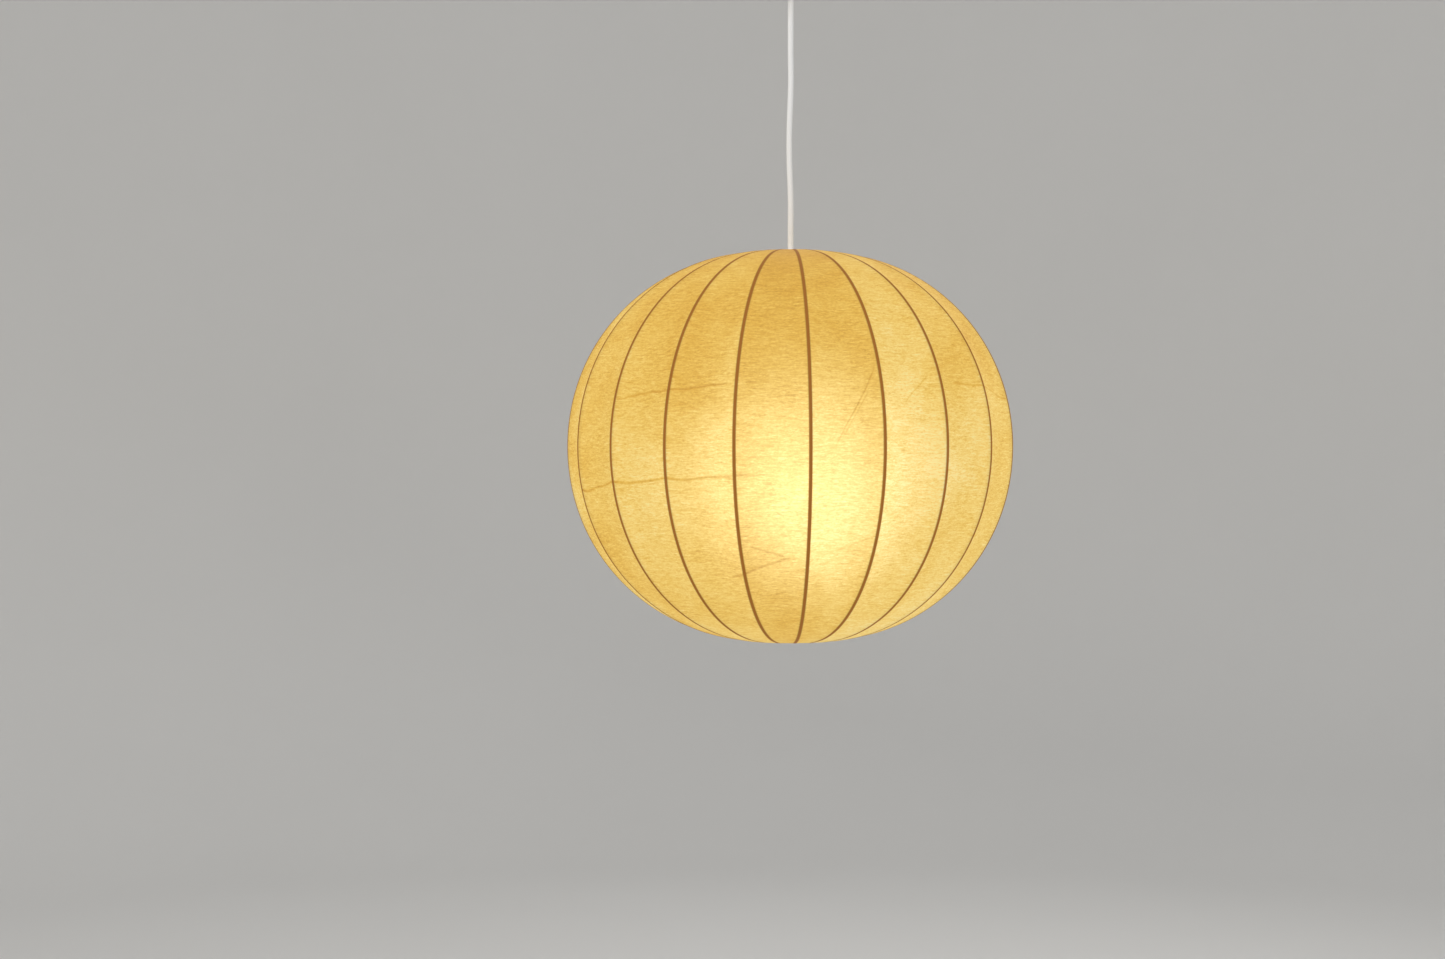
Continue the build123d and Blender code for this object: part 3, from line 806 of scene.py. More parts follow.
def screwed(name: str, outer: RadiusRule, inner: RadiusRule, foot: float, top: float, pitch: float,
            rows: int, segments: int = 64) -> bpy.types.Object:
    """A tube with a right-handed thread.

    Args:
        name: The object's name.
        outer: The outside radius from arrays of height and of thread wave, from -1 to 1.
        inner: The inside radius, likewise.
        foot: The tube's lower end.
        top: The tube's upper end.
        pitch: The thread's rise for each turn.
        rows: Steps up the tube.
        segments: Steps round the axis.

    Returns:
        The new object.
    """
    angles = np.linspace(0, 2 * math.pi, segments, endpoint=False)
    heights = np.linspace(foot, top, rows + 1)
    h, a = np.meshgrid(heights, angles, indexing="ij")
    wave = np.cos(2 * math.pi * h / pitch - a)
    walls = []
    for radius in (outer(h, wave), inner(h, wave)):
        walls.append(np.stack([radius * np.cos(a), radius * np.sin(a), h], axis=-1).reshape(-1, 3))
    inside = (rows + 1) * segments
    faces = []
    for i in range(segments):
        ahead = (i + 1) % segments
        for j in range(rows):
            low, high = j * segments, (j + 1) * segments
            faces.append((low + i, low + ahead, high + ahead, high + i))
            faces.append((inside + high + i, inside + high + ahead, inside + low + ahead, inside + low + i))
        last = rows * segments
        faces.append((i, inside + i, inside + ahead, ahead))
        faces.append((last + ahead, inside + last + ahead, inside + last + i, last + i))
    return new_object(name, np.concatenate(walls), faces)


def long_bead(name: str, radius: float, straight: float, place: Point, segments: int,
              rings: int) -> bpy.types.Object:
    """An upright bead with round ends, half sunk in what it grips.

    Args:
        name: The object's name.
        radius: The bead's radius.
        straight: Half the length between its round ends.
        place: Its middle.
        segments: How many sides it has.
        rings: How many rows its two ends have together.

    Returns:
        The new object.
    """
    work = bmesh.new()
    bmesh.ops.create_uvsphere(work, u_segments=segments, v_segments=rings, radius=radius)
    for vertex in work.verts:
        vertex.co.z += math.copysign(straight, vertex.co.z) if abs(vertex.co.z) > 1e-7 else 0.0
        vertex.co += Vector(place)
    # The sphere's faces come in no fixed order, so they are put in one.
    work.verts.index_update()
    faces = []
    for face in work.faces:
        numbers = [vertex.index for vertex in face.verts]
        first = numbers.index(min(numbers))
        faces.append(numbers[first:] + numbers[:first])
    mesh = bpy.data.meshes.new(name)
    mesh.from_pydata([tuple(vertex.co) for vertex in work.verts], [], sorted(faces))
    work.free()
    return shown(name, mesh)


def eased(name: str, node: str, edge: float, segments: int = 2) -> bpy.types.Object:
    """A copy of a CAD piece with its sharp edges rounded.

    Args:
        name: The new object's name.
        node: The CAD piece.
        edge: How far from each edge the rounding starts.
        segments: How many faces the rounding has.

    Returns:
        The new object.
    """
    mesh = bpy.data.meshes.new(name)
    work = bmesh.new()
    work.from_mesh(frame["nodes"][node].data)
    bmesh.ops.remove_doubles(work, verts=work.verts, dist=1e-6)
    flat, turned = math.radians(FLAT_EDGE_DEGREES), math.radians(SHARP_EDGE_DEGREES)
    bmesh.ops.dissolve_limit(work, angle_limit=flat, verts=work.verts, edges=work.edges)
    sharp = [e for e in work.edges if len(e.link_faces) == 2 and e.calc_face_angle() > turned]
    bmesh.ops.bevel(work, geom=sharp, offset=edge, segments=segments, profile=0.5, affect="EDGES",
                    clamp_overlap=True)
    bmesh.ops.remove_doubles(work, verts=work.verts, dist=1e-7)
    work.to_mesh(mesh)
    work.free()
    for layer in [a for a in mesh.attributes if a.name == "custom_normal"]:
        mesh.attributes.remove(layer)
    mesh.materials.clear()
    return shown(name, mesh, 30.0)


def slot_of(node: str) -> str:
    """The material slot that the record gives a CAD piece."""
    return next(part["material_slot"] for part in frame["record"]["subparts"] if part["node"] == node)


def fitted(piece: bpy.types.Object, body: Body, finish: Finish, *nodes: str,
           slot: str = "") -> bpy.types.Object:
    """Gives a finished piece its material, its body and the CAD pieces that it stands for.

    Args:
        piece: The finished object.
        body: What it rides on.
        finish: Its finish.
        nodes: The CAD pieces that it replaces.
        slot: Its material slot, where it replaces none; not used.

    Returns:
        The same object.
    """
    piece.data.materials.clear()
    piece.data.materials.append(finish.material())
    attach(piece, body.value)
    slot or slot_of(nodes[0])
    if nodes:
        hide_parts(*nodes)
    faces = sum(len(p.vertices) - 2 for p in piece.data.polygons)
    LOG.info("%s on %s: %d triangles, for %s",
             piece.name, body.value, faces, ", ".join(nodes) or "no CAD piece")
    return piece


def dressed(finish: Finish, *nodes: str) -> None:
    """Gives carried-over CAD pieces a finish.

    Args:
        finish: The finish.
        nodes: The CAD pieces.
    """
    for node in nodes:
        piece = frame["nodes"][node]
        for slot in piece.material_slots:
            slot.material = finish.material()
        if not piece.material_slots:
            piece.data.materials.append(finish.material())
        LOG.info("%s keeps its CAD shape, in %s", node, finish.name)


# ---------------------------------------------------------------- geometry nodes

class CopiesRound:
    """A Geometry Nodes tree that turns copies of a piece, or of a wire's line, about Z."""

    INPUTS = (("Shape", "NodeSocketGeometry"), ("Count", "NodeSocketInt"), ("Phase", "NodeSocketFloat"),
              ("Wire Radius", "NodeSocketFloat"), ("Finish", "NodeSocketMaterial"))

    def __init__(self, name: str, of_wire: bool, sides: int = 10) -> None:
        """Builds the tree.

        Args:
            name: The tree's name.
            of_wire: Whether the shape is a curve that becomes round wire.
            sides: How many sides the wire has.
        """
        self.tree = bpy.data.node_groups.new(name, "GeometryNodeTree")
        for label, kind in self.INPUTS:
            self.tree.interface.new_socket(label, in_out="INPUT", socket_type=kind)
        self.tree.interface.new_socket("Copies", in_out="OUTPUT", socket_type="NodeSocketGeometry")
        maker = NodeMaker(self.tree)
        given = maker.add("NodeGroupInput").outputs
        shape = given["Shape"]
        if of_wire:
            section = maker.add("GeometryNodeCurvePrimitiveCircle", {"Radius": given["Wire Radius"]})
            section.inputs["Resolution"].default_value = sides
            shape = maker.add("GeometryNodeCurveToMesh", {
                "Curve": shape, "Profile Curve": section.outputs[0], "Fill Caps": True}).outputs[0]
        spots = maker.add("GeometryNodePoints", {"Count": given["Count"]}).outputs[0]
        step = maker.math("DIVIDE", 2 * math.pi, given["Count"])
        index = maker.add("GeometryNodeInputIndex").outputs[0]
        turn = maker.math("MULTIPLY_ADD", index, step, given["Phase"])
        turning = maker.add("ShaderNodeCombineXYZ", {"Z": turn}).outputs[0]
        copies = maker.add("GeometryNodeInstanceOnPoints", {
            "Points": spots, "Instance": shape, "Rotation": turning}).outputs[0]
        real = maker.add("GeometryNodeRealizeInstances", {"Geometry": copies}).outputs[0]
        painted = maker.add("GeometryNodeSetMaterial", {
            "Geometry": real, "Material": given["Finish"]}).outputs[0]
        maker.add("NodeGroupOutput", {"Copies": painted})

    def made(self, name: str, source: bpy.types.Object, count: int, phase: float, finish: Finish,
             wire_radius: float = 0.0) -> bpy.types.Object:
        """Runs the tree on a source and returns the copies as one plain mesh.

        Args:
            name: The new object's name.
            source: The first copy, at azimuth 0; it is used up.
            count: How many copies there are.
            phase: The first copy's angle about Z, in radians.
            finish: The copies' finish.
            wire_radius: The wire's radius, where the source is a line.

        Returns:
            The new object.
        """
        modifier = source.modifiers.new("copies", "NODES")
        modifier.node_group = self.tree
        values = {"Count": count, "Phase": phase, "Wire Radius": wire_radius, "Finish": finish.material()}
        for item in self.tree.interface.items_tree:
            if item.in_out == "INPUT" and item.name in values:
                modifier[item.identifier] = values[item.name]
        graph = bpy.context.evaluated_depsgraph_get()
        mesh = bpy.data.meshes.new_from_object(source.evaluated_get(graph), depsgraph=graph)
        bpy.data.objects.remove(source)
        return shown(name, mesh, 50.0)


def line_object(name: str, points: Iterable[Sequence[float]], nurbs: bool = False) -> bpy.types.Object:
    """A curve through points, or a NURBS spline with them as its control points.

    Args:
        name: The object's name.
        points: Points in metres.
        nurbs: Whether the points are control points.

    Returns:
        The curve, with no thickness.
    """
    curve = bpy.data.curves.new(name, "CURVE")
    curve.dimensions = "3D"
    spline = curve.splines.new("NURBS" if nurbs else "POLY")
    places = [tuple(map(float, p)) for p in points]
    spline.points.add(len(places) - 1)
    for point, place in zip(spline.points, places):
        point.co = (*place, 1.0)
    if nurbs:
        spline.order_u = 3
        spline.use_endpoint_u = True
        spline.resolution_u = 14
    piece = bpy.data.objects.new(name, curve)
    bpy.context.scene.collection.objects.link(piece)
    return piece


# ---------------------------------------------------------------- camera, light and floor

@dataclass
class Studio:
    """The camera at eye height with the ball, a pale sweep and soft light."""

    camera_back: float = 2.335
    camera_height: float = BALL_CENTRE
    lens: float = 53.56
    sensor: float = 36.0
    aim_left: float = math.radians(1.809)
    aim_down: float = math.radians(0.874)
    floor: float = -1.9
    floor_radius: float = 4.6
    sweep_radius: float = 1.6
    wall_top: float = 4.5
    sky: Colour = (0.93, 0.96, 1.0)
    sky_strength: float = 0.42

    def build(self) -> None:
        """Makes the camera first, then the sweep and the lights."""
        self.make_camera()
        self.make_sweep()
        self.make_light("key", (-2.6, -2.8, 1.9), 2.4, 95.0, (1.0, 0.97, 0.93))
        self.make_light("fill", (3.0, -2.0, 0.6), 2.6, 34.0, (0.95, 0.97, 1.0))
        self.make_light("rim", (1.2, 3.0, 1.6), 1.6, 40.0, (1.0, 0.98, 0.95))
        world = bpy.data.worlds.new("studio")
        world.use_nodes = True
        background = world.node_tree.nodes["Background"]
        background.inputs["Color"].default_value = (*self.sky, 1.0)
        background.inputs["Strength"].default_value = self.sky_strength
        bpy.context.scene.world = world
        bpy.context.scene.view_settings.view_transform = "Standard"
        LOG.info("studio: camera %.2f m in front, floor %.2f m under the ceiling",
                 self.camera_back, -self.floor)

    def make_camera(self) -> None:
        """Makes the scene's camera, which looks along +Y."""
        data = bpy.data.cameras.new("camera")
        data.lens = self.lens
        data.sensor_width = self.sensor
        camera = bpy.data.objects.new("camera", data)
        camera.location = (0.0, -self.camera_back, self.camera_height)
        camera.rotation_euler = (math.pi / 2 - self.aim_down, 0.0, self.aim_left)
        bpy.context.scene.collection.objects.link(camera)
        bpy.context.scene.camera = camera

    def make_sweep(self) -> None:
        """Makes the floor, which curves up into a round wall."""
        outline: Outline = [(0.0, self.floor), (self.floor_radius, self.floor)]
        for k in range(1, 17):
            turn = math.pi / 2 * k / 16
            outline.append((self.floor_radius + self.sweep_radius * math.sin(turn),
                            self.floor + self.sweep_radius * (1 - math.cos(turn))))
        outline.append((self.floor_radius + self.sweep_radius, self.wall_top))
        thick = 0.05
        outline.append((self.floor_radius + self.sweep_radius + thick, self.wall_top))
        outline.append((self.floor_radius + self.sweep_radius + thick, self.floor - thick))
        outline.append((0.0, self.floor - thick))
        sweep = lathed("floor", outline, 128, 60.0)
        sweep.data.materials.append(STUDIO_PAPER.material())

    def make_light(self, name: str, place: Point, size: float, power: float, colour: Colour) -> None:
        """Makes a square soft light that points at the ball.

        Args:
            name: The light's name.
            place: Where it is.
            size: Its side.
            power: Its power in watts.
            colour: Its colour.
        """
        data = bpy.data.lights.new(name, "AREA")
        data.size = size
        data.energy = power
        data.color = colour
        light = bpy.data.objects.new(name, data)
        light.location = place
        toward = Vector((0.0, 0.0, self.camera_height)) - Vector(place)
        light.rotation_euler = toward.to_track_quat("-Z", "Y").to_euler()
        light.visible_camera = False
        bpy.context.scene.collection.objects.link(light)


# ---------------------------------------------------------------- cord

@dataclass
class Cord:
    """The white mains cord, from the clamp at the ceiling down into the gland."""

    radius: float = 3.0 * MM
    sides: int = 20
    gland_mouth: float = -0.322
    swing: float = -0.116
    length: float = 0.3275
    bend_above: float = 12.0 * MM
    bend_below: float = 34.0 * MM
    route: tuple[Point, ...] = (
        (0.0, 0.0, -0.0125),
        (0.0, 0.0, -0.045),
        (0.0, 0.0, -0.082),
        (0.0, 0.0, -0.116),
        (0.0006, 0.0001, -0.143),
        (-0.0014, -0.0003, -0.187),
        (-0.0015, 0.0003, -0.226),
        (0.0003, 0.0002, -0.264),
        (0.0, 0.0, -0.301),
        (0.0, 0.0, -0.340),
    )

    def centreline(self) -> list[Vector]:
        """The points of the smooth line that the route controls.

        Returns:
            The points, from the clamp down.
        """
        line = line_object("cord_line", self.route, nurbs=True)
        mesh = bpy.data.meshes.new_from_object(line)
        points = [v.co.copy() for v in mesh.vertices]
        bpy.data.objects.remove(line)
        return points

    def build(self) -> None:
        path = self.centreline()
        vertices = []
        for i, here in enumerate(path):
            along = (path[min(i + 1, len(path) - 1)] - path[max(i - 1, 0)]).normalized()
            side = along.cross(Vector((0.0, 1.0, 0.0))).normalized()
            other = along.cross(side)
            for k in range(self.sides):
                turn = 2 * math.pi * k / self.sides
                vertices.append(here + (side * math.cos(turn) + other * math.sin(turn)) * self.radius)
        faces = []
        for i in range(len(path) - 1):
            for k in range(self.sides):
                ahead = (k + 1) % self.sides
                base, up = i * self.sides, (i + 1) * self.sides
                faces.append((base + k, base + ahead, up + ahead, up + k))
        last = (len(path) - 1) * self.sides
        faces.append(tuple(range(self.sides)))
        faces.append(tuple(last + k for k in reversed(range(self.sides))))
        cord = new_object("mains_cord", vertices, faces, 60.0)
        self.map_length(cord.data)
        cord.data.materials.append(CORD_SHEATH.material())
        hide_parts("cord_top", "cord")
        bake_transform(cord, Body.CEILING.value, Body.PENDANT.value,
                 start=(0.0, 0.0, self.swing + self.bend_above), end=(0.0, 0.0, self.swing - self.bend_below))
        [tuple(p) for p in path]
        LOG.info("mains_cord: %d rings on its line", len(path))

    def map_length(self, mesh: bpy.types.Mesh) -> None:
        """Adds the cord's UV map, in metres round and along.

        Args:
            mesh: The cord.
        """
        layer = mesh.uv_layers.new(name="cord")
        for polygon in mesh.polygons:
            middle = polygon.center
            base = math.atan2(middle.y, middle.x)
            for corner in polygon.loop_indices:
                spot = mesh.vertices[mesh.loops[corner].vertex_index].co
                angle = math.atan2(spot.y, spot.x)
                angle += 2 * math.pi * round((base - angle) / (2 * math.pi))
                layer.data[corner].uv = (angle * self.radius, -spot.z)


# ---------------------------------------------------------------- shade

@dataclass
class Profile:
    """The ball's side from opening to opening: tangent arcs mirrored about the equator."""

    radius: float = 241.5 * MM
    belly: float = 219.5 * MM
    belly_angle: float = math.radians(12.0)
    shoulder: float = 206.5 * MM
    shoulder_angle: float = math.radians(78.0)

    def arcs(self, inset: float, top_r: float, foot_r: float) -> list[tuple[Vector, float, float, float]]:
        """The arcs as centre, radius, start angle and sweep, from the top down.

        Args:
            inset: How far the line runs inside the film's outside.
            top_r: The radius at which it starts.
            foot_r: The radius at which it ends.

        Returns:
            One tuple for each arc, with angles above the equator in radians.
        """
        def ray(angle: float) -> Vector:
            """Unit vector at an angle above the equator."""
            return Vector((math.cos(angle), math.sin(angle)))

        def below(centre: Vector) -> Vector:
            """The mirror image of a centre under the equator."""
            return Vector((centre.x, -centre.y))

        belly = Vector((self.radius - self.belly, 0.0))
        shoulder = belly + ray(self.belly_angle) * (self.belly - self.shoulder)
        edge = shoulder + ray(self.shoulder_angle) * self.shoulder
        crown_radius = edge.x / math.cos(self.shoulder_angle)
        crown = edge - ray(self.shoulder_angle) * crown_radius
        top = math.acos(top_r / (crown_radius - inset))
        foot = math.acos(foot_r / (crown_radius - inset))
        turn = self.shoulder_angle - self.belly_angle
        return [
            (crown, crown_radius - inset, top, self.shoulder_angle - top),
            (shoulder, self.shoulder - inset, self.shoulder_angle, -turn),
            (belly, self.belly - inset, self.belly_angle, -2 * self.belly_angle),
            (below(shoulder), self.shoulder - inset, -self.belly_angle, -turn),
            (below(crown), crown_radius - inset, -self.shoulder_angle, self.shoulder_angle - foot),
        ]

    def line(self, inset: float, top_r: float, foot_r: float, count: int) -> tuple[np.ndarray, np.ndarray]:
        """Evenly spaced points and outward normals, as radius and height from the centre.

        Args:
            inset: How far the line runs inside the film's outside.
            top_r: The radius at which it starts.
            foot_r: The radius at which it ends.
            count: How many points there are.

        Returns:
            Two arrays of count rows.
        """
        arcs = self.arcs(inset, top_r, foot_r)
        ends = np.cumsum([0.0] + [abs(sweep) * r for _, r, _, sweep in arcs])
        points, normals = [], []
        for s in np.linspace(0, ends[-1], count):
            k = min(int(np.searchsorted(ends, s, side="right")) - 1, len(arcs) - 1)
            centre, r, start, sweep = arcs[k]
            angle = start + sweep * (s - ends[k]) / (ends[k + 1] - ends[k])
            normals.append((math.cos(angle), math.sin(angle)))
            points.append((centre.x + r * math.cos(angle), centre.y + r * math.sin(angle)))
        return np.array(points), np.array(normals)


@dataclass
class Shade:
    """The ball: film, ribs, rings and the brazed joints between ribs and rings."""

    profile: Profile
    centre: float = BALL_CENTRE
    rib_count: int = RIB_COUNT
    rib_phase: float = math.radians(FIRST_RIB_DEGREES)
    rib_radius: float = 1.5 * MM
    rib_inset: float = 2.169 * MM
    ring_wire: float = 2.0 * MM
    top_ring: float = 45.0 * MM
    bottom_ring: float = 57.0 * MM
    wrap: float = 2.0 * MM
    braze_sink: float = 0.4 * MM
    sag: float = 3.6 * MM
    wander: float = 0.7 * MM
    hem: float = 2.3 * MM
    rows: int = 190
    hem_rows: int = 7
    rib_points: int = 110
    waves: float = 16.0
    gore_shift: float = 0.37
    bead_size: Point = (2.9, 2.6, 1.5)
    gore_tones: tuple[float, ...] = (0.2, -0.5, 0.4, 0.7, -0.2, 0.6, -0.8, 0.1, 0.5, -0.4,
                                     0.3, 0.0, 0.35, 0.4, -0.1, 0.3, 1.1, 0.8, 0.5, 0.0)

    def build(self) -> None:
        """Makes the film, the ribs, the rings and the braze."""
        self.make_film()
        self.make_ribs()
        for name, node, radius, side in (("upper_ring", "top_ring", self.top_ring, 1),
                                         ("lower_ring", "bottom_ring", self.bottom_ring, -1)):
            ring = lathed(name, self.circle(radius, self.centre + side * self.ring_height(radius)), 120, 80.0)
            fitted(ring, Body.SHADE, FRAME_WIRE, node)
        self.make_braze()

    def ring_height(self, radius: float) -> float:
        """A ring's height from the ball's centre: it lies inside the ribs, sunk in the braze.

        Args:
            radius: The ring's radius to the middle of its wire.

        Returns:
            The height in metres, above the centre.
        """
        centre, crown, _, _ = self.profile.arcs(self.rib_inset, radius, radius)[0]
        under_ribs = self.rib_radius + self.ring_wire - self.braze_sink
        return centre.y + math.sqrt(crown**2 - radius**2) - under_ribs

    def circle(self, radius: float, height: float, sides: int = 16) -> Outline:
        """A ring wire's round section."""
        turns = (2 * math.pi * k / sides for k in range(sides))
        return [(radius + self.ring_wire * math.cos(t), height + self.ring_wire * math.sin(t)) for t in turns]

    def film_line(self) -> tuple[np.ndarray, np.ndarray]:
        """The film's side with its hems, which curl in round the ends of the ribs.

        Returns:
            Points and outward normals, as radius and height from the centre.
        """
        points, normals = self.profile.line(
            0.0, self.top_ring - self.wrap, self.bottom_ring - self.wrap, self.rows)
        for at_end in (False, True):
            end, normal = (points[-1], normals[-1]) if at_end else (points[0], normals[0])
            side = -1 if at_end else 1
            inward = np.array([-normal[1], normal[0]]) * side
            turns = np.linspace(0, math.radians(150), self.hem_rows + 1)[1:, None]
            curl_normals = normal * np.cos(turns) + inward * np.sin(turns)
            curl = end - normal * self.hem + self.hem * curl_normals
            if at_end:
                points, normals = np.concatenate([points, curl]), np.concatenate([normals, curl_normals])
            else:
                points = np.concatenate([curl[::-1], points])
                normals = np.concatenate([curl_normals[::-1], normals])
        return points, normals

    def make_film(self) -> None:
        """Makes the film: straight between ribs, pulled in a little, and never quite even."""
        points, normals = self.film_line()
        half = np.array([0.0, 0.012, 0.035, 0.08, 0.15, 0.24, 0.35, 0.5])
        across = np.concatenate([half, 1 - half[-2::-1]])[:-1]
        step = 2 * math.pi / self.rib_count
        reach = np.concatenate([[0.0], np.cumsum(np.linalg.norm(np.diff(points, axis=0), axis=1))])
        columns = len(across) * self.rib_count
        vertices, places = [], []
        for j, ((r, z), (nr, nz)) in enumerate(zip(points, normals)):
            pull = self.sag * (r / self.profile.radius) ** 2
            for gore in range(self.rib_count):
                for t in across:
                    start = self.rib_phase + gore * step
                    a = np.array([math.cos(start), math.sin(start)])
                    b = np.array([math.cos(start + step), math.sin(start + step)])
                    flat = (a * (1 - t) + b * t) * r
                    out = (a + b) / np.linalg.norm(a + b)
                    middle = 4 * t * (1 - t)
                    wave = noise.noise(Vector((flat[0] * self.waves, flat[1] * self.waves, z * self.waves)))
                    push = middle * (self.wander * wave * min(1.0, r / 0.1) - pull)
                    vertices.append((flat[0] + out[0] * nr * push, flat[1] + out[1] * nr * push,
                                     self.centre + z + nz * push))
                    places.append((gore + t, r * (t - 0.5) * step + self.gore_shift * gore, reach[j]))
        faces = []
        for j in range(len(points) - 1):
            row, under = j * columns, (j + 1) * columns
            for i in range(columns):
                ahead = (i + 1) % columns
                faces.append((row + i, under + i, under + ahead, row + ahead))
        mesh = bpy.data.meshes.new("film")
        mesh.from_pydata(vertices, [], faces)
        self.map_film(mesh, places, columns, len(across), reach[-1])
        tones = mesh.attributes.new("gore_tone", "FLOAT", "FACE")
        gores = [i // len(across) for _ in range(len(points) - 1) for i in range(columns)]
        tones.data.foreach_set("value", [self.gore_tones[gore] for gore in gores])
        film = shown("film", mesh, 80.0)
        fitted(film, Body.SHADE, FILM, "skin")

    def map_film(self, mesh: bpy.types.Mesh, places: list[tuple[float, float, float]], columns: int,
                 per_gore: int, total: float) -> None:
        """Adds two UV maps: shares of the whole way round and down, and metres on each gore.

        Args:
            mesh: The film.
            places: For each vertex, its gore, metres across the gore and metres down.
            columns: How many vertices there are round the ball.
            per_gore: How many of them each gore has.
            total: The whole way down in metres.
        """
        around = mesh.uv_layers.new(name="around")
        web = mesh.uv_layers.new(name="web")
        number = np.zeros(len(mesh.loops), np.int32)
        mesh.loops.foreach_get("vertex_index", number)
        number = number.reshape(-1, 4)
        table = np.array(places)
        gore, across, down = (table[number][..., k] for k in range(3))
        first = (number[:, :1] % columns)
        crossing = ((number % columns) < first)
        far = number % columns == (first // per_gore + 1) * per_gore % columns
        far &= number % columns != first
        gore = np.where(crossing, gore + self.rib_count, gore)
        radius = np.linalg.norm(np.array([v.co[:2] for v in mesh.vertices]), axis=1)[number]
        step = 2 * math.pi / self.rib_count
        home = first // per_gore
        across = np.where(far, radius * 0.5 * step + self.gore_shift * home, across)
        around.data.foreach_set("uv", np.stack([gore / self.rib_count, down / total], -1).ravel())
        web.data.foreach_set("uv", np.stack([across, down], -1).ravel())

    def make_ribs(self) -> None:
        """Makes the ribs from one meridian."""
        points, _ = self.profile.line(
            self.rib_inset, self.top_ring - self.wrap, self.bottom_ring - self.wrap, self.rib_points)
        meridian = line_object("rib_line", [(r, 0.0, self.centre + z) for r, z in points])
        ribs = CopiesRound("ribs_round", of_wire=True).made(
            "rib_wires", meridian, self.rib_count, self.rib_phase, FRAME_WIRE, self.rib_radius)
        fitted(ribs, Body.SHADE, FRAME_WIRE, *(f"rib_{i + 1:02d}" for i in range(self.rib_count)))

    def make_braze(self) -> None:
        """Makes the small fillets of braze where each rib crosses each ring."""
        work = bmesh.new()
        for radius, side in ((self.top_ring, 1), (self.bottom_ring, -1)):
            made = bmesh.ops.create_icosphere(work, subdivisions=2, radius=1.0)["verts"]
            height = self.centre + side * (self.ring_height(radius) + self.ring_wire * 0.8)
            for vertex in made:
                lump = 1 + 0.12 * noise.noise(vertex.co * 1.7 + Vector((side, 0, 0)))
                vertex.co = Vector([c * size * MM for c, size in zip(vertex.co, self.bead_size)]) * lump
                vertex.co += Vector((radius, 0.0, height))
        mesh = bpy.data.meshes.new("braze")
        work.to_mesh(mesh)
        work.free()
        bead = shown("braze_bead", mesh)
        beads = CopiesRound("beads_round", of_wire=False).made(
            "braze_beads", bead, self.rib_count, self.rib_phase, FRAME_WIRE)
        fitted(beads, Body.SHADE, FRAME_WIRE, slot="frame_wire")


# ---------------------------------------------------------------- suspension

@dataclass
class Suspension:
    """What carries the ball under the cord: gland, threaded stem, hanger and nuts."""

    centre: float = BALL_CENTRE
    stem_radius: float = 5.0 * MM
    stem_bore: float = 3.7 * MM
    stem_foot: float = 64.0 * MM
    stem_top: float = 198.5 * MM
    pitch: float = 1.0 * MM
    thread_depth: float = 0.45 * MM
    lead: float = 1.2 * MM
    lead_depth: float = 0.3 * MM
    rows_per_turn: int = 6
    sides: int = 28

    def build(self) -> None:
        """Makes the stem and eases the edges of the rest."""
        self.make_stem()
        fitted(eased("spider_hanger", "hanger", 0.35 * MM), Body.PENDANT, ZINC_SHEET, "hanger")
        fitted(eased("gland_cap", "gland_nut", 0.5 * MM), Body.PENDANT, FITTING_PLASTIC, "gland_nut")
        fitted(eased("gland_base", "gland_body", 0.5 * MM), Body.PENDANT, FITTING_PLASTIC, "gland_body")
        fitted(eased("lock_nuts", "stem_lock_nuts", 0.25 * MM), Body.PENDANT, ZINC_SCREW, "stem_lock_nuts")
        dressed(SEAL_RUBBER, "gland_seal")

    def make_stem(self) -> None:
        """Makes the all-thread tube."""
        foot, top = self.centre + self.stem_foot, self.centre + self.stem_top

        def outer(height: np.ndarray, wave: np.ndarray) -> np.ndarray:
            """Crest radius less the thread's depth, with a lead-in at both ends."""
            full = np.minimum(height - foot, top - height).clip(0, self.lead) / self.lead
            return self.stem_radius - self.thread_depth * (0.5 - 0.5 * wave) - self.lead_depth * (1 - full)

        def inner(height: np.ndarray, wave: np.ndarray) -> np.ndarray:
            """The plain bore."""
            return np.full_like(height, self.stem_bore)

        rows = round((top - foot) / self.pitch * self.rows_per_turn)
        stem = screwed("threaded_stem", outer, inner, foot, top, self.pitch, rows, self.sides)
        fitted(stem, Body.PENDANT, ZINC_TUBE, "stem")


# ---------------------------------------------------------------- lampholder and bulb

@dataclass
class LampThread:
    """The rolled lamp thread that the socket and the bulb's cap share."""

    pitch: float = 25.4 / 7 * MM
    depth: float = 0.42 * MM


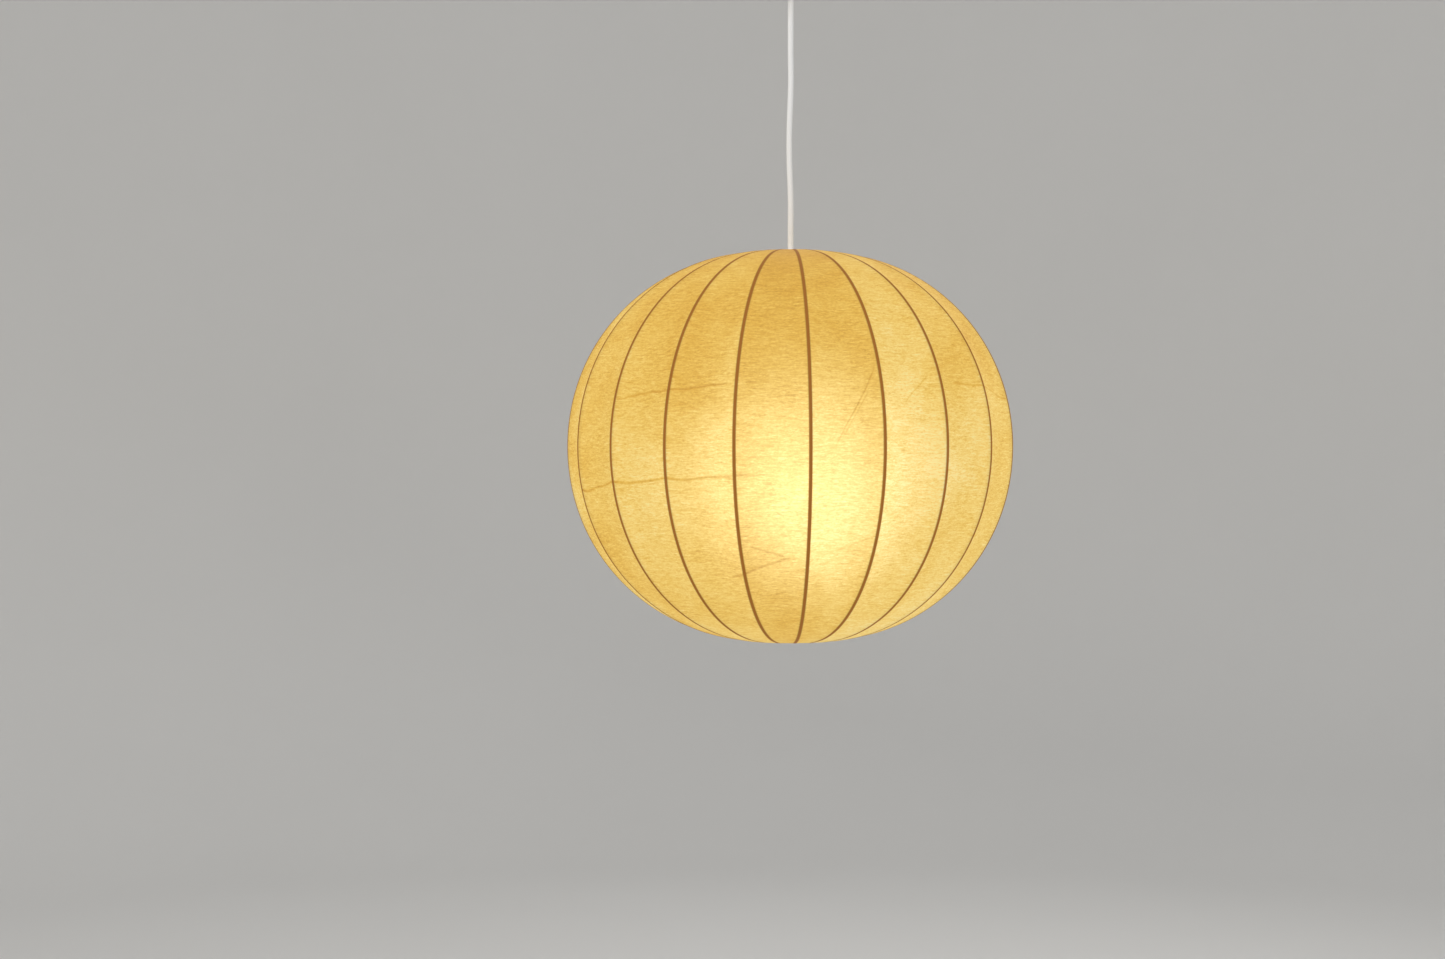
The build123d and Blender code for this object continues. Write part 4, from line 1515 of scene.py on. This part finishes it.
@dataclass
class Lampholder:
    """The holder: cap, gripped shell, ceramic insert, threaded socket and contacts."""

    thread: LampThread
    centre: float = BALL_CENTRE
    radius: float = 20.0 * MM
    wall: float = 2.0 * MM
    mouth: float = 8.0 * MM
    joint: float = 44.0 * MM
    lip: float = 14.8 * MM
    neck: float = 9.0 * MM
    neck_top: float = 76.0 * MM
    neck_bore: float = 5.1 * MM
    shoulder: float = 58.0 * MM
    socket_radius: float = 13.4 * MM
    socket_wall: float = 0.6 * MM
    socket_foot: float = 12.0 * MM
    socket_top: float = 38.0 * MM
    grips: int = 36
    grip_radius: float = 0.55 * MM
    grip_sink: float = 0.05 * MM
    grip_margin: float = 5.0

    def build(self) -> None:
        """Makes the shell, the cap and the socket, and dresses the inside."""
        self.make_shell()
        self.make_cap()
        self.make_socket()
        dressed(CERAMIC, "holder_insert")
        dressed(BRASS, "holder_centre_contact", "holder_terminals")
        fitted(eased("terminal_clamp_screws", "holder_terminal_screws", 0.15 * MM), Body.PENDANT, ZINC_SCREW,
               "holder_terminal_screws")
        dressed(LIVE_CORE, "live_core_lower")
        dressed(NEUTRAL_CORE, "neutral_core_lower")

    def make_shell(self) -> None:
        """Makes the shell with a lip round its mouth and grip ribs round its side."""
        r, inner, lip = self.radius / MM, (self.radius - self.wall) / MM, self.lip / MM
        mouth, joint = self.mouth / MM, self.joint / MM
        shell = lathed("holder_sleeve", rounded_mm([
            (r, joint, 0.3), (inner, joint, 0.3), (inner, mouth + 2, 0.8), (lip, mouth + 2, 0.3),
            (lip, mouth, 0.5), (r, mouth, 1.4)], self.centre))
        fitted(shell, Body.PENDANT, HOLDER_PLASTIC, "holder_shell")
        foot, top = mouth + self.grip_margin, joint - self.grip_margin
        middle = (self.radius - self.grip_sink, 0.0, self.centre + (foot + top) / 2 * MM)
        grip = long_bead("grip", self.grip_radius, (top - foot) / 2 * MM, middle, 10, 8)
        grips = CopiesRound("grips_round", of_wire=False).made(
            "holder_grips", grip, self.grips, 0.0, HOLDER_PLASTIC)
        fitted(grips, Body.PENDANT, HOLDER_PLASTIC, slot="holder_plastic")

    def make_cap(self) -> None:
        """Makes the domed cap over the terminals."""
        r, inner, neck = self.radius / MM, (self.radius - self.wall) / MM, self.neck / MM
        top, shoulder = self.neck_top / MM, self.shoulder / MM
        joint, bore = self.joint / MM, self.neck_bore / MM
        cap = lathed("holder_dome", rounded_mm([
            (bore, top, 0.3), (neck, top, 0.7), (neck, top - 6, 0.8), (neck + 5, top - 9, 3.0),
            (r - 1, shoulder + 3, 2.5), (r, shoulder, 2.0), (r, joint, 0.3), (inner, joint, 0.3),
            (inner, shoulder - 1, 2.0), (neck + 3, top - 11, 1.0), (bore, top - 10, 0.3)], self.centre))
        fitted(cap, Body.PENDANT, HOLDER_PLASTIC, "holder_cap")

    def make_socket(self) -> None:
        """Makes the socket's threaded sleeve."""
        bore, wall, depth = self.socket_radius, self.socket_wall, self.thread.depth

        def inner(height: np.ndarray, wave: np.ndarray) -> np.ndarray:
            """Bore radius with the rolled thread in it."""
            return bore + depth * (wave - 0.6)

        def outer(height: np.ndarray, wave: np.ndarray) -> np.ndarray:
            """The sleeve's back, one wall outside its bore."""
            return inner(height, wave) + wall * 0.7

        foot, top = self.centre + self.socket_foot, self.centre + self.socket_top
        socket = screwed("socket_sleeve", outer, inner, foot, top, self.thread.pitch, 100)
        fitted(socket, Body.PENDANT, BRASS, "holder_socket")


@dataclass
class Bulb:
    """The lit bulb: frosted envelope, threaded cap, black insulator and solder tip."""

    thread: LampThread
    centre: float = BALL_CENTRE
    globe: float = 30.0 * MM
    globe_centre: float = -47.0 * MM
    neck: float = 12.4 * MM
    neck_top: float = 23.5 * MM
    cap_radius: float = 13.1 * MM
    cap_wall: float = 0.4 * MM
    cap_foot: float = 5.5 * MM
    cap_top: float = 27.5 * MM
    power: float = 0.76
    light_colour: Colour = (0.9, 1.0, 1.05)
    light_size: float = 80.0 * MM
    light_place: Point = (12.0 * MM, 0.0, -40.0 * MM)
    tip_radius: float = 4.8 * MM
    tip_dome: float = 3.2 * MM
    tip_foot: float = 31.05 * MM
    tip_brim: float = 31.6 * MM
    tip_top: float = 33.0 * MM

    def build(self) -> None:
        """Makes the envelope, the cap and the light, and dresses the rest."""
        glass = lathed("frosted_globe", self.envelope(), 96, 70.0)
        fitted(glass, Body.BULB, LIT_GLASS, "bulb_glass", "bulb_filament_mount", "bulb_filament")
        self.make_cap()
        dressed(BLACK_GLASS, "bulb_insulator")
        tip = lathed("solder_tip", rounded([
            (0.0, self.centre + self.tip_top, 0.0), (self.tip_dome, self.centre + self.tip_top, 1.2 * MM),
            (self.tip_radius, self.centre + self.tip_brim, 0.5 * MM),
            (self.tip_radius, self.centre + self.tip_foot, 0.2 * MM),
            (0.0, self.centre + self.tip_foot, 0.0)]), 40)
        fitted(tip, Body.CONTACT, SOLDER, "bulb_tip")
        self.make_light()

    def envelope(self) -> Outline:
        """The outline: neck, flare and globe, each tangent to the next.

        Returns:
            The outline's points as radius and height.
        """
        rise = -self.globe_centre
        flare = (self.neck**2 + rise**2 - self.globe**2) / 2 / (self.globe - self.neck)
        middle = Vector((self.neck + flare, 0.0))
        toward = (middle - Vector((0.0, self.globe_centre))).normalized()
        join = math.atan2(toward.y, toward.x)
        points = [(0.0, self.neck_top), (self.neck - 1 * MM, self.neck_top),
                  (self.neck, self.neck_top - 1 * MM)]
        for k in range(13):
            angle = math.pi + join * k / 12
            points.append((middle.x + flare * math.cos(angle), flare * math.sin(angle)))
        for k in range(1, 37):
            angle = join - (join + math.pi / 2) * k / 36
            points.append((self.globe * max(0.0, math.cos(angle)),
                           self.globe_centre + self.globe * math.sin(angle)))
        points[-1] = (0.0, points[-1][1])
        return [(r, self.centre + z) for r, z in points]

    def make_cap(self) -> None:
        """Makes the cap's rolled shell."""
        foot, top = self.centre + self.cap_foot, self.centre + self.cap_top

        def outer(height: np.ndarray, wave: np.ndarray) -> np.ndarray:
            """Thread between a plain skirt and a coned top.

            Args:
                height: Heights up the cap.
                wave: The thread's wave there, from -1 to 1.

            Returns:
                The outside radius.
            """
            plain = ((height - foot) / (3 * MM)).clip(0, 1) * ((top - height) / (2.5 * MM)).clip(0, 1)
            cone = 1.4 * MM * (1 - ((top - height) / (2 * MM)).clip(0, 1))
            return self.cap_radius - 0.38 * MM + self.thread.depth * wave * plain - cone

        def inner(height: np.ndarray, wave: np.ndarray) -> np.ndarray:
            """The shell's inside, one wall in."""
            return outer(height, wave) - self.cap_wall * 0.6

        cap = screwed("rolled_cap", outer, inner, foot, top, self.thread.pitch, 96)
        fitted(cap, Body.BULB, CAP_METAL, "bulb_cap")

    def make_light(self) -> None:
        """Makes the lamp's own light.

        It is wider than the globe and to one side, so that the glow is as broad and lies
        as far off the axis as it does through a thicker film.
        """
        data = bpy.data.lights.new("lamp_light", "POINT")
        data.energy = self.power
        data.color = self.light_colour
        data.shadow_soft_size = self.light_size
        light = bpy.data.objects.new("lamp_light", data)
        light.location = Vector((0.0, 0.0, self.centre)) + Vector(self.light_place)
        light.visible_camera = False
        bpy.context.scene.collection.objects.link(light)
        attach(light, Body.BULB.value)


# ---------------------------------------------------------------- ceiling fitting and canopy

@dataclass
class CeilingFitting:
    """The plate, the cord's clamp and the terminal block, which the canopy hides."""

    def build(self) -> None:
        """Eases the stamped and moulded pieces and dresses the small ones."""
        for name, node, finish, edge in (
                ("mounting_plate", "ceiling_plate", ZINC_SHEET, 0.3),
                ("clamp_tab", "cord_tab", ZINC_SHEET, 0.35),
                ("clamp_bar", "cord_clamp", ZINC_SHEET, 0.35),
                ("clamp_bar_screws", "cord_clamp_screws", ZINC_SCREW, 0.15),
                ("connector_block", "terminal_block", BLOCK_PLASTIC, 0.4),
                ("connector_screws", "terminal_screws", ZINC_SCREW, 0.15),
                ("block_fixing_screw", "terminal_block_screw", ZINC_SCREW, 0.15)):
            fitted(eased(name, node, edge * MM), Body.CEILING, finish, node)
        dressed(BRASS, "terminal_sleeves")
        dressed(LIVE_CORE, "live_core_upper")
        dressed(NEUTRAL_CORE, "neutral_core_upper")


@dataclass
class Canopy:
    """The cup that slides down the cord, its collar and the collar's screw."""

    radius: float = 56.0
    deep: float = 33.0
    wall: float = 1.8
    corner: float = 11.0
    rim: float = -0.3
    neck_radius: float = 5.5
    neck_gap: float = 0.1
    neck_tall: float = 4.0
    collar_radius: float = 8.0
    collar_tall: float = 12.0
    bore: float = 3.1
    flutes: int = 28
    flute_radius: float = 0.34
    flute_sink: float = 0.02
    flute_foot: float = 3.2
    flute_top: float = 1.2

    def build(self) -> None:
        """Makes the cup, the collar and its flutes. Its sizes are in millimetres."""
        floor = self.rim - self.deep
        hole = self.neck_radius + self.neck_gap
        cup = lathed("canopy_cup", rounded_mm([
            (self.radius, self.rim, 0.7), (self.radius, floor, self.corner), (hole, floor, 0.4),
            (hole, floor + self.wall, 0.3),
            (self.radius - self.wall, floor + self.wall, self.corner - self.wall),
            (self.radius - self.wall, self.rim, 0.5)], steps=14), 160)
        fitted(cup, Body.CANOPY, CANOPY_PLASTIC, "canopy")
        foot = floor - self.collar_tall
        collar = lathed("grip_collar", rounded_mm([
            (self.bore, floor + self.neck_tall, 0.3), (self.neck_radius, floor + self.neck_tall, 0.4),
            (self.neck_radius, floor, 0.0), (self.collar_radius, floor, 0.5),
            (self.collar_radius, foot + 2, 1.2), (self.collar_radius - 2, foot, 0.8),
            (self.bore, foot, 0.3)]), 72)
        fitted(collar, Body.CANOPY, FITTING_PLASTIC, "canopy_collar")
        low, high = foot + self.flute_foot, floor - self.flute_top
        middle = (self.collar_radius * MM - self.flute_sink * MM, 0.0, (low + high) / 2 * MM)
        flute = long_bead("flute", self.flute_radius * MM, (high - low) / 2 * MM, middle, 8, 6)
        flutes = CopiesRound("flutes_round", of_wire=False).made(
            "collar_flutes", flute, self.flutes, -math.pi / 2 + math.pi / self.flutes, FITTING_PLASTIC)
        fitted(flutes, Body.CANOPY, FITTING_PLASTIC, slot="fitting_plastic")
        fitted(eased("collar_set_screw", "canopy_collar_screw", 0.12 * MM), Body.CANOPY, ZINC_SCREW,
               "canopy_collar_screw")


# ---------------------------------------------------------------- the lantern


def main() -> None:
    """Builds the camera and cord, then the ball, and then what is inside and above it."""
    logging.basicConfig(level=logging.INFO, format="%(name)s: %(message)s")
    Studio().build()
    Cord().build()
    Shade(Profile()).build()
    Suspension().build()
    thread = LampThread()
    Lampholder(thread).build()
    Bulb(thread).build()
    CeilingFitting().build()
    Canopy().build()


if __name__ == "__main__":
    main()
